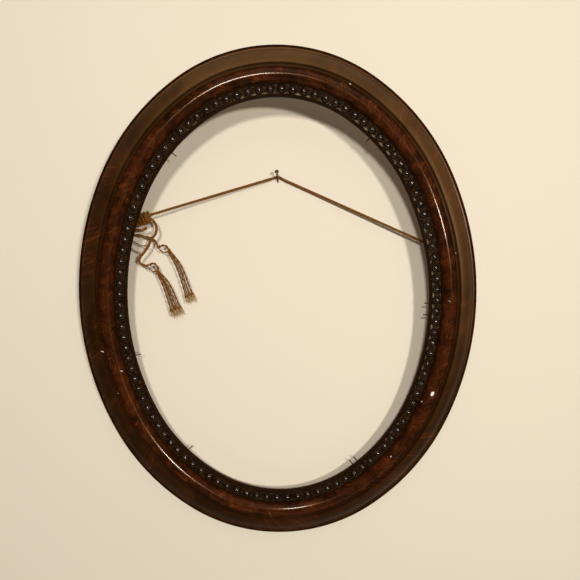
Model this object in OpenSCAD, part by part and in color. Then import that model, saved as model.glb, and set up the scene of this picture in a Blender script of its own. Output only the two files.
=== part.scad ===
// Oval picture frame with an applied rib, a beaded inner border and a hanging cord on a wall nail.
// Millimetres. X is to the right, Z is up, and the front of the frame faces -Y.
// The origin is on the wall nail, where the cord hangs from it.

/* [Glass] */
// Width of the oval glass that the frame is made for
glass_w = 356; // [300:1:420]
// Height of the oval glass
glass_h = 462; // [400:1:520]
// Free space round the glass in the rebate
glass_play = 1; // [0.5:0.1:2]
// How far the sight edge covers the glass
sight_lap = 6.5; // [4:0.5:9]

/* [Moulding] */
// Width of the lip beside the sight edge
lip_w = 1.4; // [1:0.1:3]
// Height of the sight edge's wall
lip_t = 6; // [4:0.5:8]
// Depth of the rebate behind the sight edge
rebate_d = 7; // [5:0.5:9]
// Width of the seat for the beaded strip
strip_seat_w = 10.8; // [9.5:0.1:12]
// Depth of that seat below the lip
strip_seat_d = 0.5; // [0.3:0.1:1.2]
// Width of the ledge between the beaded strip and the rib
ledge_w = 0.3; // [0.2:0.1:1.5]
// Height of the rib's seat above the back
rib_seat_h = 15.5; // [14.5:0.5:18]
// Width of the fillet outside the rib
fillet_w = 1.3; // [1:0.1:3]
// Height of that fillet above the rib's seat
fillet_h = 0.8; // [0.4:0.1:1.5]
// Width of the quirk outside the fillet
quirk_w = 3.7; // [2.5:0.1:5]
// Depth of the quirk below the rib's seat
quirk_d = 2.2; // [1:0.1:3]
// Width of the rounded outer band
band_w = 15.7; // [11:0.1:20]
// Height of the band's inner edge above the back
band_inner_h = 15; // [14:0.1:16]
// Height of the band's outer edge above the back
band_outer_h = 8.7; // [7:0.1:11]
// Width of the flat on the outer shoulder
shoulder_w = 1; // [0.6:0.1:2]
// Height of the shoulder above the band
shoulder_step = 0.7; // [0.3:0.1:1]
// Radius of the outer edge
edge_r = 4.8; // [2:0.1:6]

/* [Rib] */
// Width of the applied half-round rib
rib_w = 16.5; // [13:0.5:20]
// Height of the rib above its seat
rib_h = 6.5; // [4:0.5:7.5]

/* [Beaded strip] */
// Diameter of a bead
bead_d = 7.8; // [5:0.1:8]
// Spacing of the beads along the strip
bead_pitch = 12.45; // [11:0.05:15]
// Height of a bead's centre above the strip's underside
bead_lift = 1.2; // [0.5:0.1:2]
// Thickness of the strip between the beads
strip_t = 1; // [0.8:0.1:1.2]
// Width of an inner leaf point at its root
leaf_in_w = 8.2; // [5:0.1:9]
// Length of an inner leaf point
leaf_in_l = 3.3; // [2:0.1:3.6]
// Width of an outer leaf point at its root
leaf_out_w = 5.4; // [4:0.1:8]
// Length of an outer leaf point
leaf_out_l = 2.4; // [1.5:0.1:3]
// Height of a leaf point above the strip's underside
leaf_h = 2.2; // [1.5:0.1:3]

/* [Joints in the wood] */
// Length of a loose tongue
tongue_l = 24; // [16:1:36]
// Width of a loose tongue
tongue_w = 14; // [8:1:16]
// Thickness of a loose tongue
tongue_t = 3; // [2:0.5:4]
// Height of a tongue's underside above the back
tongue_lift = 6; // [4:0.5:8]

/* [Brads] */
// Length of a brad
brad_l = 20; // [14:1:24]
// Diameter of a brad
brad_d = 1.2; // [0.8:0.1:1.8]
// How far a brad stands in past the sight edge
brad_show = 4.5; // [1:0.5:6]
// Height of the brads above the back
brad_lift = 3; // [2:0.1:4]

/* [Hanging] */
// Height of the nail above the middle of the oval
nail_rise = 142; // [120:1:180]
// Distance from the back of the frame to the nail's hanging point
back_gap = 22; // [18:1:40]
// Distance from the back of the frame to the middle of an eye
eye_gap = 8; // [7:0.5:12]
// Distance of the screw eyes outside the sight edge
eye_inset = 31.9; // [24:0.1:40]
// Compass angle of the left screw eye
eye_left_deg = 285.55; // [270:0.05:292]
// Compass angle of the right screw eye
eye_right_deg = 81.15; // [68:0.05:90]
// Mean radius of an eye's ring
eye_r = 4.5; // [4:0.1:6]
// Diameter of the eye's wire
eye_wire_d = 2.2; // [1.6:0.1:2.6]
// Diameter of the eye's shank
eye_shank_d = 2.6; // [2:0.1:3.2]
// How deep an eye is screwed into the wood
eye_depth = 9; // [6:0.5:11]
// Diameter of the hanging cord
cord_d = 3.3; // [3:0.1:3.5]
// Diameter of one yarn of the cord
yarn_d = 1.2; // [1:0.1:1.5]
// Turns of the left lashing
lashing_left_turns = 4; // [2:1:4]
// Turns of the right lashing
lashing_right_turns = 3; // [2:1:3]
// Free space between a lashing's turns
lashing_gap = 0.6; // [0.5:0.1:1]

/* [Wall nail] */
// Diameter of the nail's shank
nail_d = 2; // [1.5:0.1:2.4]
// Diameter of the nail's head
nail_head_d = 5; // [4:0.1:6]
// Thickness of the nail's head
nail_head_t = 1; // [0.6:0.1:1.5]
// Length of the nail in front of its hanging point
nail_front = 11.5; // [9:0.5:14]
// Length of the nail behind its hanging point
nail_behind = 20; // [15:1:30]
// Upward slope of the nail
nail_slope = 40; // [35:1:45]
// Sideways lean of the nail's head
nail_lean = 6; // [0:1:10]

/* [Hidden] */

$fn = 96;
seat_play = 0.15;      // free space beside an applied strip
tongue_play = 0.15;    // free space round a loose tongue
hole_play = 0.05;      // free space round a brad or a shank
overcut = 1;           // how far a cut runs past the face it opens
root_lap = 0.1;        // how far a leaf point stands in from the strip's edge

wood = "#2e1a10";
burl = "#5d2417";
tongue_wood = "#b08a5c";
composition = "#191512";
iron = "#3a2a22";
steel = "#8d8478";
cord = "#8a5a20";

// Positions across the moulding, measured out from the sight edge
seat_in = lip_w;
seat_out = seat_in + strip_seat_w;
rib_in = seat_out + ledge_w;
rib_out = rib_in + rib_w;
fillet_out = rib_out + fillet_w;
quirk_out = fillet_out + quirk_w;
band_out = quirk_out + band_w;
moulding_w = band_out + shoulder_w + edge_r;
rebate_w = sight_lap + glass_play;

// Heights above the back of the frame
lip_h = rebate_d + lip_t;
seat_h = lip_h - strip_seat_d;
shoulder_h = band_outer_h + shoulder_step;
band_drop = band_inner_h - band_outer_h;

// The radius of the band's round, level at the band's inner edge
band_r = (band_w * band_w + band_drop * band_drop) / (2 * band_drop);
nose_r = 0.7 * lip_w;
bead_line = (seat_in + seat_out) / 2;

// The sight oval: three arcs to a quarter, tangent where they meet. Compass angles
// run clockwise from the top, and an arc's angle is that of its outward normal.
half_w = glass_w / 2 - sight_lap;
half_h = glass_h / 2 - sight_lap;
end_deg = 34.2;        // where the end arc meets the shoulder arc
flank_deg = 64.6;      // where the shoulder arc meets the flank arc
shoulder_ease = 1.0125;
shoulder_r = shoulder_ease * sqrt(half_w * half_h);
short_w = half_w - shoulder_r * (sin(flank_deg) - sin(end_deg));
short_h = half_h - shoulder_r * (cos(end_deg) - cos(flank_deg));
solve = sin(end_deg) * cos(flank_deg) - (1 - sin(flank_deg)) * (1 - cos(end_deg));
end_r = (short_w * cos(flank_deg) - (1 - sin(flank_deg)) * short_h) / solve;
flank_r = (sin(end_deg) * short_h - (1 - cos(end_deg)) * short_w) / solve;
end_y = half_h - end_r;
shoulder_x = (end_r - shoulder_r) * sin(end_deg);
shoulder_y = end_y + (end_r - shoulder_r) * cos(end_deg);
flank_x = half_w - flank_r;

// [from, to, centre x, centre y, radius] for each length of the oval, clockwise from the top
ARCS = [
    [-end_deg, end_deg, 0, end_y, end_r],
    [end_deg, flank_deg, shoulder_x, shoulder_y, shoulder_r],
    [flank_deg, 180 - flank_deg, flank_x, 0, flank_r],
    [180 - flank_deg, 180 - end_deg, shoulder_x, -shoulder_y, shoulder_r],
    [180 - end_deg, 180 + end_deg, 0, -end_y, end_r],
    [180 + end_deg, 180 + flank_deg, -shoulder_x, -shoulder_y, shoulder_r],
    [180 + flank_deg, 360 - flank_deg, -flank_x, 0, flank_r],
    [360 - flank_deg, 360 - end_deg, -shoulder_x, shoulder_y, shoulder_r]
];
TOP = 0;
TOP_RIGHT = 1;
RIGHT = 2;
BOTTOM_RIGHT = 3;
BOTTOM = 4;
BOTTOM_LEFT = 5;
LEFT = 6;
TOP_LEFT = 7;

// Compass angles of the brads, as they are found round the rebate
BRADS = [43.8, 90.9, 93.6, 141.3, 143.2, 226.5, 257.9, 310.9];

function within(deg, arc) = deg > arc[0] && deg < arc[1];

// Moves a shape drawn flat, with its height above the back along Z, to its place
module hang() {
    translate([0, -back_gap, -nail_rise]) rotate([90, 0, 0]) children();
}

// Sweeps a profile along one arc of the oval
module sweep(arc) {
    translate([arc[2], arc[3], 0]) rotate([0, 0, 90 - arc[1]])
        rotate_extrude(angle = arc[1] - arc[0], $fn = 240) translate([arc[4], 0]) children();
}

// Puts a shape on an arc of the oval, its X along the oval and its Y outwards
module at_oval(arc, deg, out) {
    translate([arc[2] + (arc[4] + out) * sin(deg), arc[3] + (arc[4] + out) * cos(deg), 0])
        rotate([0, 0, -deg]) children();
}

// The corner that a round edge takes off, with the corner at the origin
module corner_off(r) {
    difference() {
        translate([-r, -r]) square(r + 1);
        translate([-r, -r]) circle(r);
    }
}

// What is taken off the band's square block to leave its round
module band_off() {
    translate([quirk_out, band_inner_h]) difference() {
        translate([0, -band_drop]) square([band_w, band_drop + 1]);
        translate([0, -band_r]) circle(band_r, $fn = 240);
    }
}

module moulding_profile() {
    difference() {
        polygon([[rebate_w, 0], [moulding_w, 0], [moulding_w, shoulder_h], [band_out, shoulder_h],
            [band_out, band_inner_h], [quirk_out, band_inner_h], [quirk_out, rib_seat_h - quirk_d],
            [fillet_out, rib_seat_h - quirk_d], [fillet_out, rib_seat_h + fillet_h],
            [rib_out, rib_seat_h + fillet_h], [rib_out, rib_seat_h], [seat_out, rib_seat_h],
            [seat_out, seat_h], [seat_in, seat_h], [seat_in, lip_h],
            [0, lip_h], [0, rebate_d], [rebate_w, rebate_d]]);
        band_off();
        translate([moulding_w, shoulder_h]) corner_off(edge_r);
        translate([0, lip_h]) mirror([1, 0]) corner_off(nose_r);
    }
}

module tongue(play) {
    cube([tongue_l + 2 * play, tongue_w + 2 * play, tongue_t + 2 * play], center = true);
}

module at_tongue(arc, deg) {
    at_oval(arc, deg, (rib_in + rib_out) / 2)
        translate([0, 0, tongue_lift + tongue_t / 2]) children();
}

// A brad driven outwards into the wall of the rebate, or with some play the hole for it
module brad(play) {
    translate([0, brad_l - brad_show + play, brad_lift]) rotate([90, 0, 0])
        cylinder(h = brad_l + play, d = brad_d + 2 * play);
}

// A length of moulding with its tongue slots, its brad holes and any hole for a screw eye
module moulding(length, eyes = []) {
    arc = ARCS[length];
    color(wood) hang() difference() {
        sweep(arc) moulding_profile();
        for (deg = [arc[0], arc[1]]) at_tongue(arc, deg) tongue(tongue_play);
        for (deg = BRADS) if (within(deg, arc)) at_oval(arc, deg, 0) brad(hole_play);
        for (deg = eyes) at_oval(arc, deg, eye_inset) translate([0, 0, -overcut])
            cylinder(h = eye_depth + hole_play + overcut, d = eye_shank_d + 2 * hole_play);
    }
}

module rib(length) {
    chord = rib_w - 2 * seat_play;
    round_r = (chord * chord / 4 + rib_h * rib_h) / (2 * rib_h);
    color(burl) hang() sweep(ARCS[length]) translate([(rib_in + rib_out) / 2, rib_seat_h])
        intersection() {
            translate([0, rib_h - round_r]) circle(round_r, $fn = 144);
            translate([-rib_w, 0]) square([2 * rib_w, rib_h + 1]);
        }
}

// A dome with its flat side down
module bead() {
    rotate_extrude($fn = 48) intersection() {
        translate([0, bead_lift]) circle(d = bead_d);
        square([bead_d, bead_d]);
    }
}

// A leaf point with its root on the X axis
module leaf(width, length) {
    linear_extrude(leaf_h) polygon([[-width / 2, 0], [width / 2, 0], [0, length]]);
}

// A strip of composition ornament: beads in a row with leaf points between them
module beading(length) {
    arc = ARCS[length];
    sector = arc[1] - arc[0];
    count = round(sector * PI / 180 * (arc[4] + bead_line) / bead_pitch);
    step = sector / count;
    strip_w = strip_seat_w - 2 * seat_play;
    color(composition) hang() translate([0, 0, seat_h]) union() {
        sweep(arc) translate([seat_in + seat_play, 0]) square([strip_w, strip_t]);
        for (i = [0 : count - 1]) at_oval(arc, arc[0] + (i + 0.5) * step, bead_line) bead();
        for (i = [1 : count - 1]) at_oval(arc, arc[0] + i * step, bead_line) {
            translate([0, root_lap - strip_w / 2, 0]) leaf(leaf_in_w, leaf_in_l);
            translate([0, strip_w / 2 - root_lap, 0]) rotate([0, 0, 180]) leaf(leaf_out_w, leaf_out_l);
        }
    }
}

module loose_tongues() {
    color(tongue_wood) hang() for (arc = ARCS) at_tongue(arc, arc[1]) tongue(0);
}

module brads() {
    color(iron) hang() for (arc = ARCS, deg = BRADS) if (within(deg, arc))
        at_oval(arc, deg, 0) brad(0);
}

// A screw eye, its ring opening upwards so that the cord passes through it
module screw_eye(length, deg) {
    color(steel) hang() at_oval(ARCS[length], deg, eye_inset) rotate([0, 0, deg]) {
        translate([0, 0, -eye_gap]) rotate([90, 0, 0]) rotate_extrude($fn = 72)
            translate([eye_r, 0]) circle(d = eye_wire_d, $fn = 36);
        translate([0, 0, eye_r - eye_gap]) cylinder(h = eye_gap - eye_r + eye_depth, d = eye_shank_d);
    }
}

module wall_nail() {
    color(iron) rotate([0, -nail_lean, 0]) rotate([90 - nail_slope, 0, 0]) {
        translate([0, 0, -nail_behind]) cylinder(h = nail_behind + nail_front, d = nail_d);
        translate([0, 0, nail_front - nail_head_t]) cylinder(h = nail_head_t, d = nail_head_d);
    }
}

// ---- Cord ----

// The whole cord: its right end, the right eye, over the nail, the left eye, back beside
// itself through the left lashing, and down its own tail to the first knot
CORD_ROUTE = [[172.5, -12.8, -82], [178, -13.2, -84.6], [183, -13.7, -88], [188, -14, -93],
    [193.4, -14, -97.2], [197.2, -14, -96.2], [198.6, -14, -93.2], [197.4, -14, -90.4],
    [194, -14, -89], [188, -13.6, -85], [178, -12.8, -80], [166, -11.8, -74.5],
    [130, -8.8, -57.8], [90, -5.5, -39.3], [50, -2.1, -20.7], [20, 0.3, -6.9], [8, 1.3, -1.4],
    [3, 1.9, 1.3], [0, 2, 2.2], [-3, 1.9, 1.6], [-8, 1.3, 0], [-20, 0.3, -3.5],
    [-60, -3, -15.1], [-105, -6.7, -28.3], [-148, -10.3, -40.9], [-165, -11.8, -45.8],
    [-180, -13.2, -50.5], [-186, -14, -53], [-189.6, -14, -54.8], [-190.6, -14, -57.4],
    [-189.4, -14, -60], [-185.5, -14, -60.9], [-178, -13.8, -57], [-170, -13, -52.4],
    [-164, -12.3, -49.8], [-149, -11, -45.4], [-144.5, -12.5, -46.5], [-141, -14.5, -51],
    [-139.3, -16, -58], [-141.3, -16.5, -64], [-146, -16.5, -69], [-149, -16.5, -76],
    [-154, -16.5, -83], [-159.5, -16, -89.5], [-161, -15.5, -94.2], [-158, -15, -97.8],
    [-152.6, -15, -99.3], [-148.6, -15, -100.1], [-145, -15, -102.2], [-141.3, -15, -104.9]];
// The knot is the cord's last three points
CORD_KNOT = [1.3, 1.9, 1.2];

// The second cord end, from beside the left eye to its own knot
TAIL_B_ROUTE = [[-180, -13.9, -60.6], [-177, -13.4, -63.3], [-165.3, -11.5, -63.1],
    [-148.8, -11, -67.3], [-144.2, -11.5, -69.7], [-140.8, -12.3, -74.4], [-139.6, -13, -77.6],
    [-136.5, -13, -79], [-132, -13, -79.8], [-127.5, -13, -81.5]];
TAIL_B_KNOT = [1.4, 1.9, 1.2];

// A short cut end of the lashing
STUB_ROUTE = [[-174, -14.9, -58], [-162, -15, -57.8], [-155, -15.3, -58], [-150.5, -15.5, -55.6]];

// Yarns teased out of the two tails, each ending in a small knot
STRANDS_A = [[[-141.7, -15.9, -105.9], [-134.5, -16.2, -123], [-126.4, -16, -151.9]],
    [[-141.7, -14.1, -105.9], [-132.5, -13.6, -122.5], [-123.2, -13.4, -150.7]],
    [[-140.5, -15.9, -104.4], [-130.8, -16.4, -121], [-119.8, -16.4, -149.2]],
    [[-140.5, -14.1, -104.4], [-128.6, -13.6, -119.5], [-116.4, -13.6, -148.4]]];
STRANDS_B = [[[-127.7, -14, -82.7], [-118, -14.6, -103], [-108.6, -14.6, -135.8]],
    [[-126.9, -12, -82.6], [-115.8, -12, -101], [-105.4, -12, -134.4]],
    [[-126.3, -14, -81.2], [-114, -14.8, -98], [-101.4, -14.8, -132.7]]];
YARNS = [[[-173, -12.4, -66.2], [-167.1, -12, -71.1], [-157.8, -13, -75.9], [-151, -14.9, -75.8]],
    [[-175, -12.6, -66], [-169.8, -12, -79.2], [-160.7, -12.5, -84.5]]];

CORD_SIDES = 8;
LASHING_SIDES = 6;
LASHING_RINGS = 24;

function unit(v) = v / norm(v);
function heading(points, i) = unit(points[min(i + 1, len(points) - 1)] - points[max(i - 1, 0)]);

// A round bar swept along points, whose diameter at each point is its width there
module tube(points, widths, sides, across = [0, 1, 0]) {
    last = len(points) - 1;
    rings = [for (i = [0 : last], k = [0 : sides - 1]) let (t = heading(points, i),
        n = unit(cross(across, t)), b = cross(t, n), turn = 360 * k / sides)
        points[i] + widths[i] / 2 * (cos(turn) * n + sin(turn) * b)];
    sides_faces = [for (i = [0 : last - 1], k = [0 : sides - 1])
        let (a = i * sides + k, b = i * sides + (k + 1) % sides) each
        [[a, b, a + sides], [b, b + sides, a + sides]]];
    cap_start = [for (k = [1 : sides - 2]) [0, k + 1, k]];
    cap_end = [for (k = [1 : sides - 2]) [last * sides, last * sides + k, last * sides + k + 1]];
    polyhedron(rings, concat(sides_faces, cap_start, cap_end));
}

function even(points, width) = [for (p = points) width];
function with_knot(points, width, swell) = [for (i = [0 : len(points) - 1])
    let (k = i - len(points) + len(swell)) k < 0 ? width : width * swell[k]];

module cord_tube(points, swell) {
    color(cord) tube(points, with_knot(points, cord_d, swell), CORD_SIDES);
}

module strands(list) {
    color(cord) for (points = list) tube(points, with_knot(points, yarn_d, [1.6]), CORD_SIDES);
}

// A lashing: turns of cord wound in a flat coil round two runs that lie side by side
run_gap = 4.2;                                        // between the middles of the two runs
wind_r = cord_d + 1.4;                                // half the coil's depth
wind_across_r = cord_d + run_gap / 2 + 0.7;           // half the coil's height
function wound(start, along, turns) = let (axis = unit(along), up = unit(cross([0, 1, 0], axis)),
    side = cross(axis, up)) [for (i = [0 : turns * LASHING_RINGS])
    let (turn = 360 * i / LASHING_RINGS) start + axis * (cord_d + lashing_gap) * i / LASHING_RINGS
        + up * wind_across_r * cos(turn) + side * wind_r * sin(turn)];
// The least gap between one turn and the next, on the turns' own points
function turn_gap(points) = min([for (i = [0 : len(points) - 1 - LASHING_RINGS])
    norm(points[i + LASHING_RINGS] - points[i])]) - cord_d;

LEFT_RUN = [-17, -1.5, -4.9];
RIGHT_RUN = [-12, 1, 5.6];
LASHING_LEFT = wound([-148.5, -11.2, -43.3], LEFT_RUN, lashing_left_turns);
LASHING_RIGHT = wound([186, -13.6, -86.8], RIGHT_RUN, lashing_right_turns);
echo(left_lashing_gap = turn_gap(LASHING_LEFT),
    right_lashing_gap = turn_gap(LASHING_RIGHT));

module lashing(points, along) {
    color(cord) tube(points, even(points, cord_d), LASHING_SIDES, unit(along));
}

moulding(TOP);  // moulding_top
moulding(TOP_RIGHT);  // moulding_top_right
moulding(RIGHT, [eye_right_deg]);  // moulding_right
moulding(BOTTOM_RIGHT);  // moulding_bottom_right
moulding(BOTTOM);  // moulding_bottom
moulding(BOTTOM_LEFT);  // moulding_bottom_left
moulding(LEFT, [eye_left_deg]);  // moulding_left
moulding(TOP_LEFT);  // moulding_top_left
rib(TOP);  // rib_top
rib(TOP_RIGHT);  // rib_top_right
rib(RIGHT);  // rib_right
rib(BOTTOM_RIGHT);  // rib_bottom_right
rib(BOTTOM);  // rib_bottom
rib(BOTTOM_LEFT);  // rib_bottom_left
rib(LEFT);  // rib_left
rib(TOP_LEFT);  // rib_top_left
beading(TOP);  // beading_top
beading(TOP_RIGHT);  // beading_top_right
beading(RIGHT);  // beading_right
beading(BOTTOM_RIGHT);  // beading_bottom_right
beading(BOTTOM);  // beading_bottom
beading(BOTTOM_LEFT);  // beading_bottom_left
beading(LEFT);  // beading_left
beading(TOP_LEFT);  // beading_top_left
loose_tongues();
brads();
screw_eye(LEFT, eye_left_deg);  // screw_eye_left
screw_eye(RIGHT, eye_right_deg);  // screw_eye_right
wall_nail();
cord_tube(CORD_ROUTE, CORD_KNOT);  // hanging_cord
lashing(LASHING_LEFT, LEFT_RUN);  // lashing_left
lashing(LASHING_RIGHT, RIGHT_RUN);  // lashing_right
strands(STRANDS_A);  // tail_strands_a
cord_tube(TAIL_B_ROUTE, TAIL_B_KNOT);  // tail_b
strands(STRANDS_B);  // tail_strands_b
cord_tube(STUB_ROUTE, []);  // cord_stub
strands(YARNS);  // loose_yarns
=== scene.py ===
"""An oval picture frame that hangs on a wall nail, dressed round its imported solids.

Lengths are in metres, in the frame's own coordinates: X runs to the right, Z up, and the
front faces -Y. The origin is on the nail, where the cord hangs. A place on the moulding is
given by a compass angle, clockwise from the top, by a distance out from the sight edge and
by a height above the flat back.
"""
import logging
import math
import random
from dataclasses import dataclass, field
from enum import Enum
from typing import Callable, Sequence

import bpy
from mathutils import Matrix, Vector, geometry

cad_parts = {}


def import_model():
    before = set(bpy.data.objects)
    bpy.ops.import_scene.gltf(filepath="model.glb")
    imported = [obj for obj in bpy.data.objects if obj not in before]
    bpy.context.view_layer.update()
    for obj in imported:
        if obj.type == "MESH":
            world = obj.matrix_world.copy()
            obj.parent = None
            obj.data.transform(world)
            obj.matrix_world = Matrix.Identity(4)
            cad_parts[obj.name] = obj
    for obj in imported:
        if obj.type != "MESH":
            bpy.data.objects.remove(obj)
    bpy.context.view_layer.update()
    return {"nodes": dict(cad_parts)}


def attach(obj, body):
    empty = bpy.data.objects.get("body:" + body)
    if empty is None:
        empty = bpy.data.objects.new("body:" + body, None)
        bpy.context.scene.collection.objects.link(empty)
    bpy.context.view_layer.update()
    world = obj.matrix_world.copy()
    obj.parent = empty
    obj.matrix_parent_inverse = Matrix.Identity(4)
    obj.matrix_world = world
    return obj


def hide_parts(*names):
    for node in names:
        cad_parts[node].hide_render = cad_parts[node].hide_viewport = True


LOG = logging.getLogger("oval_frame")
Point = tuple[float, float, float]
Route = tuple[Point, ...]
Face = tuple[int, ...]
Colour = tuple[float, float, float, float]
LENGTHS = ("top", "top_right", "right", "bottom_right", "bottom", "bottom_left", "left", "top_left")


class Body(Enum):
    """The moving bodies that a piece can ride on."""

    NAIL = "nail"
    CORD = "cord"
    FRAME = "frame"


# ---------------------------------------------------------------- shader graphs


class Socket:
    """A value in a material's graph, which Python's operators work on."""

    def __init__(self, graph: "Graph", link: bpy.types.NodeSocket) -> None:
        """Wraps one output of a node."""
        self.graph = graph
        self.link = link

    def math(self, operation: str, *values: "Socket | float") -> "Socket":
        """Returns a Math node's result on its inputs, in order."""
        return self.graph.node("ShaderNodeMath", {"operation": operation}, dict(enumerate(values)))

    def __add__(self, other: "Socket | float") -> "Socket":
        """Returns the sum."""
        return self.math("ADD", self, other)

    __radd__ = __add__

    def __sub__(self, other: "Socket | float") -> "Socket":
        """Returns the difference."""
        return self.math("SUBTRACT", self, other)

    def __rsub__(self, other: float) -> "Socket":
        """Returns a number less this value."""
        return self.math("SUBTRACT", other, self)

    def __mul__(self, other: "Socket | float") -> "Socket":
        """Returns the product."""
        return self.math("MULTIPLY", self, other)

    __rmul__ = __mul__

    def sine(self) -> "Socket":
        """Returns the sine."""
        return self.math("SINE", self)

    def above(self, low: float, high: float) -> "Socket":
        """Returns 0 below low and 1 above high, with a smooth step between them."""
        return self.graph.node(
            "ShaderNodeMapRange",
            {"interpolation_type": "SMOOTHSTEP"},
            {"Value": self, "From Min": low, "From Max": high, "To Min": 0.0, "To Max": 1.0},
        )

    def below(self, low: float, high: float) -> "Socket":
        """Returns 1 below low and 0 above high, with a smooth step between them."""
        return 1 - self.above(low, high)


class Graph:
    """One material's node graph."""

    def __init__(self, name: str) -> None:
        """Starts an empty material.

        Args:
            name: The material's name.
        """
        self.material = bpy.data.materials.new(name)
        self.material.use_nodes = True
        self.tree = self.material.node_tree
        self.tree.nodes.clear()
        self.output = self.tree.nodes.new("ShaderNodeOutputMaterial")

    def node(
        self,
        kind: str,
        settings: dict[str, object] | None = None,
        inputs: dict[int | str, object] | None = None,
        output: int | str = 0,
    ) -> Socket:
        """Adds a node.

        Args:
            kind: The node's type.
            settings: What is set on the node before its sockets.
            inputs: A value or a Socket for each input named.
            output: The output that is returned.

        Returns:
            The chosen output.
        """
        made = self.tree.nodes.new(kind)
        for key, value in (settings or {}).items():
            setattr(made, key, value)
        for key, value in (inputs or {}).items():
            if isinstance(value, Socket):
                self.tree.links.new(value.link, made.inputs[key])
            else:
                made.inputs[key].default_value = value
        return Socket(self, made.outputs[output])

    def place(self) -> Socket:
        """Returns the point on the piece, in the piece's own coordinates."""
        return self.node("ShaderNodeTexCoord", output="Object")

    def attribute(self, name: str) -> tuple[Socket, Socket, Socket]:
        """Returns the three parts of a vector that the mesh carries."""
        vector = self.node("ShaderNodeAttribute", {"attribute_name": name}, output="Vector")
        return self.parts(vector)

    def parts(self, vector: Socket) -> tuple[Socket, Socket, Socket]:
        """Splits a vector.

        Args:
            vector: The vector.

        Returns:
            Its three parts.
        """
        split = self.node("ShaderNodeSeparateXYZ", {}, {0: vector})
        outputs = split.link.node.outputs
        return split, Socket(self, outputs[1]), Socket(self, outputs[2])

    def vector(self, x: Socket | float, y: Socket | float, z: Socket | float = 0.0) -> Socket:
        """Returns a vector made of three parts."""
        return self.node("ShaderNodeCombineXYZ", {}, {0: x, 1: y, 2: z})

    def noise(
        self, vector: Socket, scale: float = 1.0, detail: float = 3.0, warp: float = 0.0
    ) -> Socket:
        """Returns a noise between 0 and 1 that repeats scale times to a unit of the vector."""
        inputs = {"Vector": vector, "Scale": scale, "Detail": detail, "Distortion": warp}
        return self.node("ShaderNodeTexNoise", {}, inputs)

    def mix(self, factor: Socket | float, first: Socket | Colour, second: Socket | Colour) -> Socket:
        """Returns a mix of two colours."""
        return self.node("ShaderNodeMix", {"data_type": "RGBA"}, {0: factor, 6: first, 7: second}, 2)

    def bump(self, height: Socket, distance: float, strength: float = 1.0) -> Socket:
        """Returns the normal that a height between 0 and 1 gives over a distance in metres."""
        inputs = {"Height": height, "Distance": distance, "Strength": strength}
        return self.node("ShaderNodeBump", {}, inputs)

    def surface(self, sockets: dict[str, object], matt: Socket | None = None) -> bpy.types.Material:
        """Ends the graph in one shader.

        Args:
            sockets: Values and links for the shader's sockets.
            matt: Where the surface has the same colour without any gloss, from 0 to 1.

        Returns:
            The finished material.
        """
        shader = self.node("ShaderNodeBsdfPrincipled", {}, sockets)
        if matt:
            plain = {key: sockets[key] for key in ("Base Color", "Normal")}
            plain |= {"Roughness": 0.9, "Specular IOR Level": 0.0}
            dull = self.node("ShaderNodeBsdfPrincipled", {}, plain)
            shader = self.node("ShaderNodeMixShader", {}, {0: matt, 1: shader, 2: dull})
        self.tree.links.new(shader.link, self.output.inputs[0])
        return self.material


def rgb(red: float, green: float, blue: float) -> Colour:
    """Returns a linear colour."""
    return (red, green, blue, 1.0)


# ---------------------------------------------------------------- finishes


@dataclass(frozen=True)
class Chip:
    """A small place where the finish is knocked or scratched off.

    deg and out give its middle, length and width its size, and lean its turn from the
    moulding's run, in degrees.
    """

    deg: float
    out: float
    length: float
    width: float
    lean: float


@dataclass(frozen=True)
class Streaks:
    """Fine strokes that cross the moulding on a slant, in patches."""

    lean: float = 128.0
    length: float = 0.030
    width: float = 0.0015
    patch: float = 0.024

    def masks(self, graph: Graph) -> tuple[Socket, Socket]:
        """Works the strokes out.

        Args:
            graph: The material's graph.

        Returns:
            The strokes and the patches that they lie in, both from 0 to 1.
        """
        along, out, height = graph.attribute("sweep")
        across = out + height
        cosine, sine = math.cos(math.radians(self.lean)), math.sin(math.radians(self.lean))
        stroke = graph.vector(
            (along * cosine + across * sine) * (1 / self.length),
            (across * cosine - along * sine) * (1 / self.width),
        )
        spread = graph.vector(along, across * 0.6)
        patch = graph.noise(spread, scale=1 / self.patch, warp=0.6)
        return graph.noise(stroke, warp=0.4), patch


CHIP_RAGGED = 2.4  # how strongly the noise eats into a chip's outline
CHIP_EDGE = (1.95, 2.2)  # the reach, with that noise, over which a chip fades out


def chip_mask(graph: Graph, oval: "Oval", chips: Sequence[Chip]) -> Socket:
    """Works out where the chips are.

    Args:
        graph: The material's graph.
        oval: The oval that the chips are placed on.
        chips: The chips.

    Returns:
        1 in a chip and 0 elsewhere.
    """
    x, _, z = graph.parts(graph.place())
    ragged = graph.noise(graph.place(), scale=460.0, warp=0.6) * CHIP_RAGGED
    total: Socket | float = 0.0
    for chip in chips:
        middle = oval.place(chip.deg, chip.out, 0.0)
        lean = math.radians(chip.deg + chip.lean)
        run, rise = math.cos(lean), -math.sin(lean)
        right, up = x - middle.x, z - middle.z
        long_part = (right * run + up * rise) * (2 / chip.length)
        short_part = (up * run - right * rise) * (2 / chip.width)
        reach = long_part * long_part + short_part * short_part + ragged
        total = reach.below(*CHIP_EDGE) + total
    return total


def dulled_side(graph: Graph) -> Socket:
    """Returns 1 at the frame's lower left, where its gloss is dull and the varnish's rubbed edges get a
    painted highlight, and 0 at its top right.
    """
    x, _, z = graph.parts(graph.place())
    return (x * 2.0 + z).below(-0.55, 0.15)


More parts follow.
